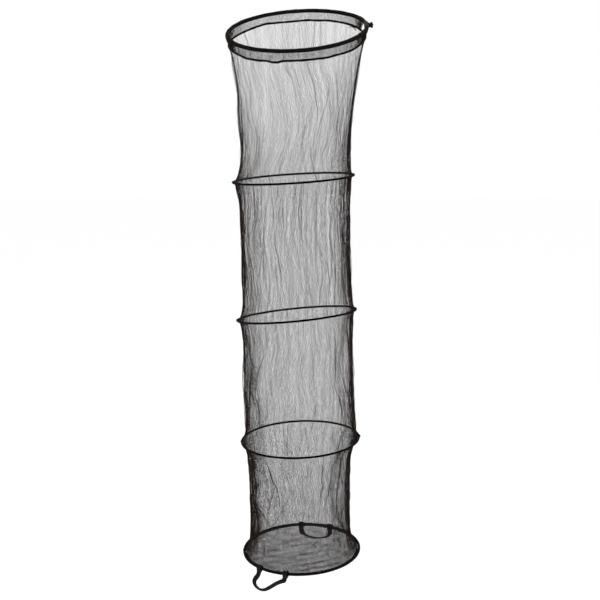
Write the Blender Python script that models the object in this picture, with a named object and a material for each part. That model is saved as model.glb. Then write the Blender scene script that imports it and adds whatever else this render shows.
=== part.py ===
"""Keep net, hanging from its bank stick stud: a tube of fine mesh on five rings, with a flat mesh floor.

Metres, +Z up. The origin is the centre of the stud's outer end face. The stud points along +X and up by
the head ring's rise, the rings hang below the head ring along -Z, and -Y is the front.
"""
import math

import bmesh
import bpy
from mathutils import Matrix, Vector

# Clearance between pieces that touch on the real net, and the overrun of every cut.
CLEARANCE = 0.0003
OVERRUN = 0.002

# Rings: centre-line diameters, wire, the tape round it, and the drop from each ring's centre to the next.
HEAD_RING_DIAMETER = 0.444
HEAD_ROD_DIAMETER = 0.008
HOOP_DIAMETER = 0.393
HOOP_WIRE_DIAMETER = 0.004
HOOP_TAPE = 0.0012
HOOP_SLEEVE_DIAMETER = HOOP_WIRE_DIAMETER + 2 * (CLEARANCE + HOOP_TAPE)
BASE_HOOP_DIAMETER = 0.390
BASE_WIRE_DIAMETER = 0.005
BASE_TAPE = 0.0022
BASE_SLEEVE_DIAMETER = BASE_WIRE_DIAMETER + 2 * (CLEARANCE + BASE_TAPE)
SLEEVE_SLIT = 0.0016
HEAD_TO_RING_2 = 0.473
RING_2_TO_RING_3 = 0.4505
RING_3_TO_RING_4 = 0.4265
RING_4_TO_BASE = 0.3885
RING_2_SWAY = -0.012
RING_3_SWAY = 0.011
RING_4_SWAY = 0.0115
BASE_SWAY = 0.005

# Each ring's lean, front down, and its rise to the right, as the net hangs.
HEAD_LEAN_DEGREES, HEAD_RISE_DEGREES = 16.1, 3.9
RING_2_LEAN_DEGREES, RING_2_RISE_DEGREES = -1.6, 3.6
RING_3_LEAN_DEGREES, RING_3_RISE_DEGREES = -5.2, 5.6
RING_4_LEAN_DEGREES, RING_4_RISE_DEGREES = 1.8, 2.5
BASE_LEAN_DEGREES, BASE_RISE_DEGREES = 4.7, 1.9

# Head boss, moulded round the two ends of the head ring, and its neck.
BOSS_LENGTH = 0.064
BOSS_WIDTH = 0.0155
BOSS_HEIGHT = 0.018
BOSS_STATION_SHARES = (-1.0, -0.93, -0.6, -0.3, 0.0, 0.3, 0.6, 0.93, 1.0)
BOSS_TIP_SHARE = 0.78
BOSS_END_SHARE = 0.84
BOSS_ROUNDING_SHARE = 0.7
NECK_DIAMETER = 0.014
NECK_LENGTH = 0.0045
NECK_FLARE = 0.0015
ROD_END_WALL = 0.0026

# Bank stick stud: a hex bolt through the boss, with a fluted lock nut near its outer end.
STUD_DIAMETER = 0.0095
STUD_HEAD_ACROSS = 0.0125
STUD_HEAD_THICKNESS = 0.0035
STUD_TIP_CHAMFER = 0.0006
LOCK_NUT_DIAMETER = 0.019
LOCK_NUT_LENGTH = 0.007
LOCK_NUT_FLUTE = 0.0008
LOCK_NUT_CHAMFER = 0.001
STUD_PROUD = 0.0012
PIN_DIAMETER = 0.003
PIN_FROM_STUD = 0.0215
PIN_SUNK = 0.0008

# Head hem: the mesh folded over the head ring and sewn along a dark cord.
HEM_DROP = 0.028
HEM_WALL = 0.001
HEM_LEAN_IN = 0.004
HEM_WAVE = 0.0012
HEM_FOOT_GAP = 0.0008
HEM_REAR_DEGREES, HEM_FRONT_DEGREES = 18.0, 338.0
HEM_CORD_DIAMETER = 0.0045
TIE_DEGREES = 27.0
TIE_LENGTH = 0.013
TIE_DIAMETER = 0.009

# The hem's wave: waves round the ring, share of the wave's height and start in degrees.
HEM_WAVE_SHARES = ((5, 1.0, 0.0), (8, 0.6, 40.0))

# The knot's outline: share of half its length and share of its thickness.
TIE_SHARES = ((-1.0, 0.45), (-0.75, 0.85), (-0.35, 1.0), (0.0, 0.86), (0.35, 1.0), (0.75, 0.85), (1.0, 0.45))

# Mesh tube: wall, how far each section draws in between its rings, and its folds.
MESH_WALL = 0.001
SECTION_1_WAIST = 0.025
SECTION_2_WAIST = 0.014
SECTION_3_WAIST = 0.013
SECTION_4_WAIST = 0.023
GATHER_LENGTH = 0.035
FOLD_DEPTH = 0.0032
FOLD_COUNT, SLOW_FOLD_COUNT = 9, 4
SLOW_FOLD_SHARE = 0.55
FOLD_WANDER, SLOW_FOLD_WANDER = 1.1, 2.0
FOLD_START_STEP = 1.7
SEAM_DEGREES = 345.0
SEAM_HOLD_DEGREES = 8.0
SEAM_WIDTH = 0.006
SEAM_THICKNESS = 0.0016

# The plain grid of openings that stands for the tube's fine mesh: how many, the upright strips between them,
# and the bands between and at the ends of their rows. Three corners of the rings go to each opening.
OPENINGS_ROUND, OPENINGS_DOWN = 12, 4
STRIP_WIDTH = 0.012
BAND = 0.012
END_BAND = 0.028

# Mesh floor inside the base ring.
FLOOR_THICKNESS = 0.0014
FLOOR_RIM_WIDTH = 0.005
FLOOR_RIM_THICKNESS = 0.0022
FLOOR_PITCH = 0.044
FLOOR_STRAND = 0.0022
FLOOR_TURN_DEGREES = 45.0

# Webbing handles looped round the base ring, by the angles of their two tabs.
WEBBING_WIDTH = 0.016
WEBBING_THICKNESS = 0.0016
TAB_PLAY = 0.0036
TAB_LENGTH = 0.018
TAB_SEWN_GAP = 0.0006
TAB_SLOT_MARGIN = 0.0015
FLOOR_SLOT_MARGIN = 0.005
FRONT_HANDLE_FROM_DEGREES, FRONT_HANDLE_TO_DEGREES = 224.0, 254.0
FRONT_HANDLE_DROP = 0.074
REAR_HANDLE_FROM_DEGREES, REAR_HANDLE_TO_DEGREES = 59.0, 90.0
REAR_HANDLE_DROP = 0.046

# A tab's way round the ring: where its wrap starts and how far it turns, and the pinch below the ring as
# shares of the loop's radius, out and down.
TAB_WRAP_START_DEGREES, TAB_WRAP_TURN_DEGREES = 205.0, -230.0
TAB_PINCH_SHARES = (0.55, 1.05)

# Facets.
RING_SIDES = 36
HEAD_ROD_STEPS = 40
HEM_STEPS = 32
HEM_OUTER_POINTS, HEM_INNER_POINTS = 7, 6
HEM_CORD_STEPS = 56
WIRE_SIDES = 6
SLEEVE_POINTS = 7
ROD_SIDES = 10
HEX_SIDES = 6
ROUND_SIDES = 20
CORD_SIDES = 6
FLUTES = 12
STRAP_STEPS = 3
TAB_WRAP_STEPS = 8
CREASE_DEGREES = 40.0
FLAT_WITHIN = 0.000001

# Strap routes between the two tabs: share of the half chord along, share of the drop down, and share of a
# quarter turn that the webbing has twisted from facing out to lying flat.
FRONT_STRAP_SHARES = (
    (-1.0, 0.30, 0.0),
    (-1.13, 0.43, 0.0),
    (-1.34, 0.58, 0.0),
    (-1.44, 0.74, 0.12),
    (-1.32, 0.90, 0.32),
    (-1.0, 1.0, 0.55),
    (-0.56, 0.95, 0.75),
    (-0.08, 0.76, 0.85),
    (0.38, 0.56, 0.8),
    (0.74, 0.43, 0.5),
    (0.95, 0.35, 0.15),
    (1.0, 0.30, 0.0),
)
REAR_STRAP_SHARES = (
    (-1.0, 0.48, 0.0),
    (-0.94, 0.64, 0.4),
    (-0.72, 0.84, 0.9),
    (-0.30, 0.985, 1.0),
    (0.18, 1.0, 1.0),
    (0.58, 0.90, 1.0),
    (0.86, 0.72, 0.8),
    (0.97, 0.58, 0.35),
    (1.0, 0.48, 0.0),
)

# Finishes: colour, roughness and metallic.
FINISHES = {
    "coated_rod": ((0.012, 0.012, 0.013), 0.35, 0.0),
    "moulded_nylon": ((0.014, 0.014, 0.015), 0.45, 0.0),
    "blacked_steel": ((0.03, 0.03, 0.032), 0.35, 1.0),
    "netting": ((0.02, 0.019, 0.019), 0.8, 0.0),
    "sewn_tape": ((0.012, 0.012, 0.012), 0.8, 0.0),
    "webbing": ((0.015, 0.015, 0.016), 0.75, 0.0),
    "hoop_wire": ((0.2, 0.2, 0.21), 0.4, 1.0),
}


class Ring:
    """The plane of one ring, with points on it by angle, radius and height. Angle 0 is +X and 90 the rear."""

    def __init__(self, centre, lean, rise):
        self.centre = centre
        self.turn = Matrix.Rotation(-math.radians(rise), 3, "Y") @ Matrix.Rotation(math.radians(lean), 3, "X")

    def place(self, degrees, radius, height):
        angle = math.radians(degrees)
        return self.centre + self.turn @ Vector((radius * math.cos(angle), radius * math.sin(angle), height))

    def out(self, degrees):
        return self.turn @ Vector((math.cos(math.radians(degrees)), math.sin(math.radians(degrees)), 0.0))


def stations(count):
    return [360.0 * i / count for i in range(count)]


def is_bent(face):
    """Whether a face's corners are out of one plane."""
    face.normal_update()
    middle = face.calc_center_median()
    return any(abs((corner.co - middle).dot(face.normal)) > FLAT_WITHIN for corner in face.verts)


def finish(name, mesh, material, origin):
    """Makes a bmesh an object whose origin lies at the given point. Bent faces are split into triangles."""
    bmesh.ops.triangulate(mesh, faces=[face for face in mesh.faces if is_bent(face)], quad_method="FIXED")
    bmesh.ops.recalc_face_normals(mesh, faces=mesh.faces)
    bmesh.ops.translate(mesh, verts=mesh.verts, vec=-origin)
    data = bpy.data.meshes.new(name)
    mesh.to_mesh(data)
    mesh.free()
    data.shade_smooth()
    data.set_sharp_from_angle(angle=math.radians(CREASE_DEGREES))
    thing = bpy.data.objects.new(name, data)
    thing.location = origin
    bpy.context.scene.collection.objects.link(thing)
    if material:
        data.materials.append(material)
    return thing


def loft(name, loops, joined, material, origin):
    """Skins each loop of points to the next. A joined path closes on itself, and any other gets end caps."""
    mesh = bmesh.new()
    rows = [[mesh.verts.new(point) for point in loop] for loop in loops]
    following = rows[1:] + rows[:1] if joined else rows[1:]
    for row, after in zip(rows, following):
        for i, corner in enumerate(row):
            j = (i + 1) % len(row)
            mesh.faces.new([corner, row[j], after[j], after[i]])
    if not joined:
        mesh.faces.new(rows[0])
        mesh.faces.new(rows[-1])
    return finish(name, mesh, material, origin)


def circle(radius, sides):
    """Points of a polygon in the plane, as (across, up)."""
    turns = [math.tau * i / sides for i in range(sides)]
    return [(radius * math.cos(turn), radius * math.sin(turn)) for turn in turns]


def cylinder(name, start, end, radius, sides, material, origin):
    """A bar between two points, round or with as many flats as it has sides."""
    along = (end - start).normalized()
    across = along.orthogonal().normalized()
    third = along.cross(across)
    loops = [
        [point + x * across + y * third for x, y in circle(radius, sides)] for point in (start, end)
    ]
    return loft(name, loops, False, material, origin)


def turned(name, start, along, profile, sides, flute, material, origin):
    """Turns a closed (along, radius) profile round an axis, its widest part cut back on every second side."""
    across = along.orthogonal().normalized()
    third = along.cross(across)
    widest = max(radius for _, radius in profile)
    loops = []
    for i in range(sides):
        turn = math.tau * i / sides
        spoke = math.cos(turn) * across + math.sin(turn) * third
        cut = flute if i % 2 else 0.0
        loops.append(
            [start + x * along + (radius - cut * (radius == widest)) * spoke for x, radius in profile]
        )
    return loft(name, loops, True, material, origin)


def combine(target, other, operation):
    """Applies one Boolean to the target with a helper object, and removes the helper."""
    change = target.modifiers.new(operation.lower(), "BOOLEAN")
    change.operation = operation
    change.solver = "EXACT"
    change.object = other
    bpy.context.view_layer.update()
    graph = bpy.context.evaluated_depsgraph_get()
    result = bpy.data.meshes.new_from_object(target.evaluated_get(graph))
    old = target.data
    target.modifiers.clear()
    target.data = result
    bpy.data.meshes.remove(old)
    data = other.data
    bpy.data.objects.remove(other)
    bpy.data.meshes.remove(data)


def finish_of(name):
    colour, roughness, metallic = FINISHES[name]
    material = bpy.data.materials.new(name)
    material.use_nodes = True
    shader = material.node_tree.nodes["Principled BSDF"]
    shader.inputs["Base Color"].default_value = (*colour, 1.0)
    shader.inputs["Roughness"].default_value = roughness
    shader.inputs["Metallic"].default_value = metallic
    return material


def smooth_route(points, steps):
    """Reads a smooth curve through rows of numbers, with the given steps between neighbours."""
    rows = [Vector(point) for point in points]
    rows = [2 * rows[0] - rows[1]] + rows + [2 * rows[-1] - rows[-2]]
    curve = []
    for before, first, second, after in zip(rows, rows[1:], rows[2:], rows[3:]):
        ahead, ahead_after = (second - before) / 2, (after - first) / 2
        for i in range(steps):
            t = i / steps
            point = first.lerp(second, t**2 * (3 - 2 * t))
            point += ahead * (t * (t - 1) ** 2) + ahead_after * (t**2 * (t - 1))
            curve.append(point)
    curve.append(rows[-2])
    return curve


def hoop(name, ring, diameter, wire, material):
    """A closed ring of round wire."""
    section = circle(wire / 2, WIRE_SIDES)
    loops = [[ring.place(a, diameter / 2 + x, y) for x, y in section] for a in stations(RING_SIDES)]
    return loft(name, loops, True, material, ring.centre)


def sleeve(name, ring, diameter, wire, outside, material):
    """Tape round a hoop, with the slit along its inner side where it is sewn to the mesh."""
    slit = math.asin(SLEEVE_SLIT / outside)
    step = (math.tau - 2 * slit) / (SLEEVE_POINTS - 1)
    inside = (wire / 2 + CLEARANCE) / math.cos(step / 2)
    turns = [math.pi + slit + step * i for i in range(SLEEVE_POINTS)]
    section = [(outside / 2 * math.cos(turn), outside / 2 * math.sin(turn)) for turn in turns]
    section += [(inside * math.cos(turn), inside * math.sin(turn)) for turn in reversed(turns)]
    loops = [[ring.place(a, diameter / 2 + x, y) for x, y in section] for a in stations(RING_SIDES)]
    return loft(name, loops, True, material, ring.centre)


def build_head_ring(ring, material):
    """The head ring's rod, from one side of the stud round to the other."""
    radius = HEAD_RING_DIAMETER / 2
    gap = math.degrees(rod_end_from_stud() / radius)
    angles = [gap + (360.0 - 2 * gap) * i / HEAD_ROD_STEPS for i in range(HEAD_ROD_STEPS + 1)]
    section = circle(HEAD_ROD_DIAMETER / 2, ROD_SIDES)
    loops = [[ring.place(a, radius + x, y) for x, y in section] for a in angles]
    rod = loft("head_ring", loops, False, material, ring.centre)
    for side in (1.0, -1.0):
        combine(rod, pin_shape("pin_cut", ring, side, CLEARANCE, OVERRUN, None), "DIFFERENCE")
    return rod, angles


def rod_end_from_stud():
    return STUD_DIAMETER / 2 + CLEARANCE + ROD_END_WALL


def pin_shape(name, ring, side, play, longer, material):
    """A pin square to the ring's plane, through the boss and one end of the rod."""
    angle = side * math.degrees(PIN_FROM_STUD / (HEAD_RING_DIAMETER / 2))
    half = BOSS_HEIGHT / 2 - PIN_SUNK + longer
    ends = [ring.place(angle, HEAD_RING_DIAMETER / 2, height) for height in (-half, half)]
    return cylinder(name, ends[0], ends[1], PIN_DIAMETER / 2 + play, ROD_SIDES, material, ring.centre)


def rounded(value):
    """Turns a cosine or sine into that of a rounded square."""
    return math.copysign(abs(value) ** BOSS_ROUNDING_SHARE, value)


def build_boss(ring, rod_angles, material):
    """The moulded boss: a tapering body on the ring's curve and a flared neck, bored for what it holds."""
    radius = HEAD_RING_DIAMETER / 2
    reach = math.degrees(BOSS_LENGTH / 2 / radius)
    loops = []
    for share in BOSS_STATION_SHARES:
        size = BOSS_TIP_SHARE + (1.0 - BOSS_TIP_SHARE) * math.cos(share * math.pi / 2)
        size *= BOSS_END_SHARE if abs(share) == 1.0 else 1.0
        loop = []
        for i in range(ROUND_SIDES):
            turn = math.tau * (i + 0.5) / ROUND_SIDES
            across = size * BOSS_WIDTH / 2 * rounded(math.cos(turn))
            up = size * BOSS_HEIGHT / 2 * rounded(math.sin(turn))
            loop.append(ring.place(share * reach, radius + across, up))
        loops.append(loop)
    boss = loft("head_boss", loops, False, material, ring.centre)

    axis = ring.out(0.0)
    face = radius + BOSS_WIDTH / 2
    neck_profile = (
        (face - BOSS_WIDTH / 2, NECK_DIAMETER / 2 + NECK_FLARE),
        (face, NECK_DIAMETER / 2 + NECK_FLARE),
        (face + NECK_FLARE, NECK_DIAMETER / 2),
        (face + NECK_LENGTH, NECK_DIAMETER / 2),
    )
    across = axis.orthogonal().normalized()
    third = axis.cross(across)
    loops = [
        [ring.centre + along * axis + x * across + y * third for x, y in circle(size, ROUND_SIDES)]
        for along, size in neck_profile
    ]
    combine(boss, loft("neck", loops, False, None, ring.centre), "UNION")

    for first, second in ((rod_angles[0], rod_angles[1]), (rod_angles[-1], rod_angles[-2])):
        start, end = ring.place(first, radius, 0.0), ring.place(second, radius, 0.0)
        start -= (end - start).normalized() * CLEARANCE
        bore = HEAD_ROD_DIAMETER / 2 + CLEARANCE
        combine(boss, cylinder("socket", start, end, bore, ROUND_SIDES, None, ring.centre), "DIFFERENCE")
    for side in (1.0, -1.0):
        combine(boss, pin_shape("pin_cut", ring, side, CLEARANCE, OVERRUN, None), "DIFFERENCE")

    inner = radius - BOSS_WIDTH / 2
    seat = inner + STUD_HEAD_THICKNESS
    hole = cylinder(
        "stud_cut",
        ring.centre + (inner - OVERRUN) * axis,
        ring.centre + (face + NECK_LENGTH + OVERRUN) * axis,
        STUD_DIAMETER / 2 + CLEARANCE,
        ROUND_SIDES,
        None,
        ring.centre,
    )
    combine(boss, hole, "DIFFERENCE")
    pocket = cylinder(
        "hex_cut",
        ring.centre + (inner - OVERRUN) * axis,
        ring.centre + (seat + CLEARANCE) * axis,
        hex_radius() + CLEARANCE / math.cos(math.pi / HEX_SIDES),
        HEX_SIDES,
        None,
        ring.centre,
    )
    combine(boss, pocket, "DIFFERENCE")
    return boss


def hex_radius():
    return STUD_HEAD_ACROSS / 2 / math.cos(math.pi / HEX_SIDES)


def stud_reach():
    """From the head ring's centre line to the stud's outer end."""
    return BOSS_WIDTH / 2 + NECK_LENGTH + CLEARANCE + LOCK_NUT_LENGTH + STUD_PROUD


def build_stud(ring, material):
    """The hex-headed stud, its head sunk in the boss's inner side."""
    axis = ring.out(0.0)
    radius = HEAD_RING_DIAMETER / 2
    head_start = ring.centre + (radius - BOSS_WIDTH / 2) * axis
    head_end = head_start + STUD_HEAD_THICKNESS * axis
    tip = ring.centre + (radius + stud_reach()) * axis
    stud = cylinder("bank_stick_stud", head_start, head_end, hex_radius(), HEX_SIDES, material, Vector())
    across = axis.orthogonal().normalized()
    third = axis.cross(across)
    places = (
        (head_start + STUD_HEAD_THICKNESS / 2 * axis, STUD_DIAMETER / 2),
        (tip - STUD_TIP_CHAMFER * axis, STUD_DIAMETER / 2),
        (tip, STUD_DIAMETER / 2 - STUD_TIP_CHAMFER),
    )
    loops = [
        [point + x * across + y * third for x, y in circle(size, ROUND_SIDES)] for point, size in places
    ]
    combine(stud, loft("shank", loops, False, None, Vector()), "UNION")
    return stud


def build_lock_nut(ring, material):
    """A fluted thumb nut on the stud, against the neck."""
    axis = ring.out(0.0)
    start = HEAD_RING_DIAMETER / 2 + BOSS_WIDTH / 2 + NECK_LENGTH + CLEARANCE
    bore, rim = STUD_DIAMETER / 2 + CLEARANCE, LOCK_NUT_DIAMETER / 2
    profile = (
        (0.0, bore),
        (0.0, rim - LOCK_NUT_CHAMFER - LOCK_NUT_FLUTE),
        (LOCK_NUT_CHAMFER, rim),
        (LOCK_NUT_LENGTH - LOCK_NUT_CHAMFER, rim),
        (LOCK_NUT_LENGTH, rim - LOCK_NUT_CHAMFER - LOCK_NUT_FLUTE),
        (LOCK_NUT_LENGTH, bore),
    )
    place = ring.centre + start * axis
    return turned("lock_nut", place, axis, profile, 2 * FLUTES, LOCK_NUT_FLUTE, material, place)


def head_frame(ring, degrees):
    """The head ring's centre line at an angle, with the ways out and up that are square to the rod there."""
    ahead = (ring.out(degrees + 90.0)).normalized()
    up = (Vector((0.0, 0.0, 1.0)) - ahead.z * ahead).normalized()
    return ring.place(degrees, HEAD_RING_DIAMETER / 2, 0.0), ahead.cross(up), up


def hem_drop(degrees):
    """How far below the rod the hem is sewn, with the slight wave of a hand-fed seam."""
    wave = sum(
        share * math.sin(math.radians(count * degrees + start)) for count, share, start in HEM_WAVE_SHARES
    )
    return HEM_DROP + HEM_WAVE * wave


def hem_point(ring, degrees, across, below):
    """A point by the hem's lower edge: across from the rod's centre line, and below the edge."""
    place, out, up = head_frame(ring, degrees)
    return place + (across - HEM_LEAN_IN) * out - (hem_drop(degrees) + below) * up


def build_hem(ring, material):
    """The mesh folded over the head ring, both layers down to the sewn cord, open at the boss."""
    inside = HEAD_ROD_DIAMETER / 2 + CLEARANCE + ring_sagitta(HEAD_RING_DIAMETER, HEM_STEPS)
    foot = HEM_FOOT_GAP / 2
    loops = []
    for i in range(HEM_STEPS + 1):
        degrees = HEM_REAR_DEGREES + (HEM_FRONT_DEGREES - HEM_REAR_DEGREES) * i / HEM_STEPS
        place, out, up = head_frame(ring, degrees)
        loop = []
        for radius, count, edge, order in (
            (inside + HEM_WALL, HEM_OUTER_POINTS, foot + HEM_WALL, 1),
            (inside, HEM_INNER_POINTS, foot, -1),
        ):
            arc = [math.pi * k / (count - 1) for k in range(count)]
            line = [hem_point(ring, degrees, edge, 0.0)]
            line += [place + radius * math.cos(t) * out + radius * math.sin(t) * up for t in arc]
            line += [hem_point(ring, degrees, -edge, 0.0)]
            loop += line[::order]
        loops.append(loop)
    return loft("head_hem", loops, False, material, ring.centre)


def ring_sagitta(diameter, sides):
    """How far a polygon's flat falls inside its circle."""
    return diameter / 2 * (1.0 - math.cos(math.pi / sides))


def build_hem_cord(ring, material):
    """The cord that the hem is sewn along, all the way round."""
    radius = HEM_CORD_DIAMETER / 2
    loops = []
    for degrees in stations(HEM_CORD_STEPS):
        _, out, up = head_frame(ring, degrees)
        centre = hem_point(ring, degrees, 0.0, CLEARANCE + radius)
        loops.append([centre + x * out + y * up for x, y in circle(radius, CORD_SIDES)])
    return loft("hem_cord", loops, True, material, ring.centre)


def build_tie(ring, material):
    """The knot that joins the cord's ends, on the chamber side of the cord behind the boss."""
    _, out, up = head_frame(ring, TIE_DEGREES)
    ahead = ring.out(TIE_DEGREES + 90.0)
    inward = HEM_CORD_DIAMETER / 2 + CLEARANCE + TIE_DIAMETER / 2
    centre = hem_point(ring, TIE_DEGREES, -inward, CLEARANCE + HEM_CORD_DIAMETER / 2)
    loops = []
    for share, size in TIE_SHARES:
        middle = centre + share * TIE_LENGTH / 2 * ahead
        section = circle(size * TIE_DIAMETER / 2, 2 * CORD_SIDES)
        loops.append([middle + x * out + y * up for x, y in section])
    return loft("hem_tie", loops, False, material, ring.centre)


def waist_share(depth, height):
    """How much of the waist a section has at a depth: none at its rings, nearly all between them."""
    near = math.exp(-depth / GATHER_LENGTH)
    far = math.exp(-(height - depth) / GATHER_LENGTH)
    return max(0.0, 1.0 - near - far)


def fold(degrees, share, turn):
    """The mesh's loose folds, as a share of the fold depth. The long seam holds it flat beside itself."""
    angle = math.radians(degrees)
    wander = FOLD_WANDER * math.sin(3 * math.pi * share + turn)
    slow_wander = SLOW_FOLD_WANDER * share - 2 * turn
    past = abs((degrees - SEAM_DEGREES + 180.0) % 360.0 - 180.0)
    loose = min(1.0, max(0.0, (past - SEAM_HOLD_DEGREES) / SEAM_HOLD_DEGREES))
    folds = math.sin(FOLD_COUNT * angle + turn + wander)
    folds += SLOW_FOLD_SHARE * math.sin(SLOW_FOLD_COUNT * angle + slow_wander)
    return loose * folds


def section_point(edges, degrees, share, waist, turn, inset):
    """A point of a section's wall, inset from its outer face, between its top and bottom edges."""
    top, bottom = edges(degrees)
    height = (top - bottom).length
    out = Vector((math.cos(math.radians(degrees)), math.sin(math.radians(degrees)), 0.0))
    drawn = waist_share(share * height, height)
    bulge = drawn * (FOLD_DEPTH * fold(degrees, share, turn) - waist)
    return top.lerp(bottom, share) + (bulge - inset) * out


def facet_point(edges, degrees, share, waist, turn, inset):
    """A point of a section's wall on the flat between two corners of its rings."""
    step = 360.0 / RING_SIDES
    low = math.floor(degrees / step)
    near = section_point(edges, low * step, share, waist, turn, inset)
    far = section_point(edges, (low + 1) * step, share, waist, turn, inset)
    return near.lerp(far, degrees / step - low)


def section_rows(edges):
    """Shares of a section's height where its bands start and end, from the top edge to the bottom one."""
    top, bottom = edges(SEAM_DEGREES)
    height = (top - bottom).length
    opening = (height - 2 * END_BAND - (OPENINGS_DOWN - 1) * BAND) / OPENINGS_DOWN
    rows = [0.0]
    for i in range(OPENINGS_DOWN):
        start = END_BAND + i * (opening + BAND)
        rows += [start / height, (start + opening) / height]
    return rows + [1.0]


def band_degrees():
    """Angles of a band's corners: the two edges of each upright strip, and the middle of the gap after it."""
    half = math.degrees(STRIP_WIDTH / HOOP_DIAMETER)
    step = 360.0 / OPENINGS_ROUND
    corners = []
    for i in range(OPENINGS_ROUND):
        middle = SEAM_DEGREES + i * step
        corners += [middle - half, middle + half, middle + step / 2]
    return corners


def build_section(name, edges, waist, turn, material, origin):
    """A thin tube between two rings, opened in a plain grid that stands for its mesh."""
    shares = section_rows(edges)
    rim_start = SEAM_DEGREES - 360.0 / RING_SIDES / 2
    rim = [rim_start + a for a in stations(RING_SIDES)]
    rows = [rim] + [band_degrees()] * (len(shares) - 2) + [rim]
    mesh = bmesh.new()
    walls = []
    for inset in (0.0, MESH_WALL):
        walls.append(
            [
                [mesh.verts.new(facet_point(edges, a, share, waist, turn, inset)) for a in row]
                for share, row in zip(shares, rows)
            ]
        )
    outer, inner = walls
    columns, last = len(rim), len(shares) - 1
    spacing = columns // OPENINGS_ROUND
    solid = {(k, i) for k in range(last) for i in range(columns) if k % 2 == 0 or i % spacing == 0}
    for k, i in solid:
        j = (i + 1) % columns
        corners = ((k, i), (k, j), (k + 1, j), (k + 1, i))
        for wall in walls:
            mesh.faces.new([wall[row][column] for row, column in corners])
        for side, beside in enumerate(((k - 1, i), (k, j), (k + 1, i), (k, (i - 1) % columns))):
            if beside not in solid:
                (a, b), (c, d) = corners[side], corners[(side + 1) % len(corners)]
                mesh.faces.new([outer[a][b], outer[c][d], inner[c][d], inner[a][b]])
    return finish(name, mesh, material, origin)


def build_seam(name, edges, waist, turn, material, origin):
    """The tube's long seam, on the inner face of a section's wall."""
    half = math.degrees(SEAM_WIDTH / HOOP_DIAMETER)
    loops = []
    for share in section_rows(edges):
        rows = [
            facet_point(edges, SEAM_DEGREES + side * half, share, waist, turn, MESH_WALL)
            for side in (-1.0, 1.0)
        ]
        out = Vector((math.cos(math.radians(SEAM_DEGREES)), math.sin(math.radians(SEAM_DEGREES)), 0.0))
        front, back = CLEARANCE, CLEARANCE + SEAM_THICKNESS
        loops.append(
            [rows[0] - front * out, rows[1] - front * out, rows[1] - back * out, rows[0] - back * out]
        )
    return loft(name, loops, False, material, origin)


def hoop_edge(ring, diameter, outside, height):
    """The edge of a mesh section where it passes inside a ring's sleeve."""
    radius = diameter / 2 - outside / 2 - CLEARANCE
    return lambda degrees: ring.place(degrees, radius, height)


def hem_edge(ring):
    """The top edge of the first section, under the hem's cord."""
    below = HEM_CORD_DIAMETER + 2 * CLEARANCE
    return lambda degrees: hem_point(ring, degrees, MESH_WALL / 2, below)


def build_floor(ring, material):
    """The flat mesh floor: square strands set cornerwise, clipped to a round rim."""
    radius = BASE_HOOP_DIAMETER / 2 - BASE_SLEEVE_DIAMETER / 2 - CLEARANCE
    middle = -FLOOR_RIM_THICKNESS / 2
    count = math.ceil(radius / FLOOR_PITCH)
    lines = []
    for i in range(-count, count + 1):
        lines += [i * FLOOR_PITCH - FLOOR_STRAND / 2, i * FLOOR_PITCH + FLOOR_STRAND / 2]
    turn = ring.turn @ Matrix.Rotation(math.radians(FLOOR_TURN_DEGREES), 3, "Z")
    mesh = bmesh.new()
    grid = []
    for z in (middle - FLOOR_THICKNESS / 2, middle + FLOOR_THICKNESS / 2):
        points = [[ring.centre + turn @ Vector((x, y, z)) for y in lines] for x in lines]
        grid.append([[mesh.verts.new(point) for point in row] for row in points])
    last = len(lines) - 1
    solid = {(i, j) for i in range(last) for j in range(last) if i % 2 == 0 or j % 2 == 0}
    for i, j in solid:
        corners = ((i, j), (i + 1, j), (i + 1, j + 1), (i, j + 1))
        for level in grid:
            mesh.faces.new([level[x][y] for x, y in corners])
        for side, beside in enumerate(((i, j - 1), (i + 1, j), (i, j + 1), (i - 1, j))):
            if beside not in solid:
                (ax, ay), (bx, by) = corners[side], corners[(side + 1) % len(corners)]
                below, above = grid
                mesh.faces.new([below[ax][ay], below[bx][by], above[bx][by], above[ax][ay]])
    floor = finish("base_net", mesh, material, ring.centre)

    half = FLOOR_RIM_WIDTH / 2
    disc = [
        [ring.place(a, radius - half, z) for a in stations(RING_SIDES)]
        for z in (middle - OVERRUN, middle + OVERRUN)
    ]
    combine(floor, loft("disc", disc, False, None, ring.centre), "INTERSECT")
    rim = ((radius - FLOOR_RIM_WIDTH, 1.0), (radius, 1.0), (radius, -1.0), (radius - FLOOR_RIM_WIDTH, -1.0))
    loops = [
        [ring.place(a, r, middle + side * FLOOR_RIM_THICKNESS / 2) for r, side in rim]
        for a in stations(RING_SIDES)
    ]
    combine(floor, loft("rim", loops, True, None, ring.centre), "UNION")
    return floor


def facet_radius(radius, degrees):
    """Where a hoop's flat facet passes at an angle, a little inside its circle."""
    half = math.pi / RING_SIDES
    past = math.radians(degrees) % (2 * half) - half
    return radius * math.cos(half) / math.cos(past)


def tab_radius():
    """The middle of the webbing where it loops round the base ring's sleeve."""
    return BASE_SLEEVE_DIAMETER / 2 + TAB_PLAY + WEBBING_THICKNESS / 2


class Handle:
    """Where one webbing handle hangs: the chord between its tabs, and the ways along, out and up."""

    def __init__(self, ring, first, second):
        radius = BASE_HOOP_DIAMETER / 2
        ends = [ring.place(angle, facet_radius(radius, angle), 0.0) for angle in (first, second)]
        self.middle = (ends[0] + ends[1]) / 2
        self.half = (ends[1] - ends[0]).length / 2
        self.along = (ends[1] - ends[0]).normalized()
        upright = Vector((0.0, 0.0, 1.0))
        self.up = (upright - upright.dot(self.along) * self.along).normalized()
        self.out = self.along.cross(self.up)

    def place(self, along, out, down):
        return self.middle + along * self.along + out * self.out - down * self.up


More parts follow.
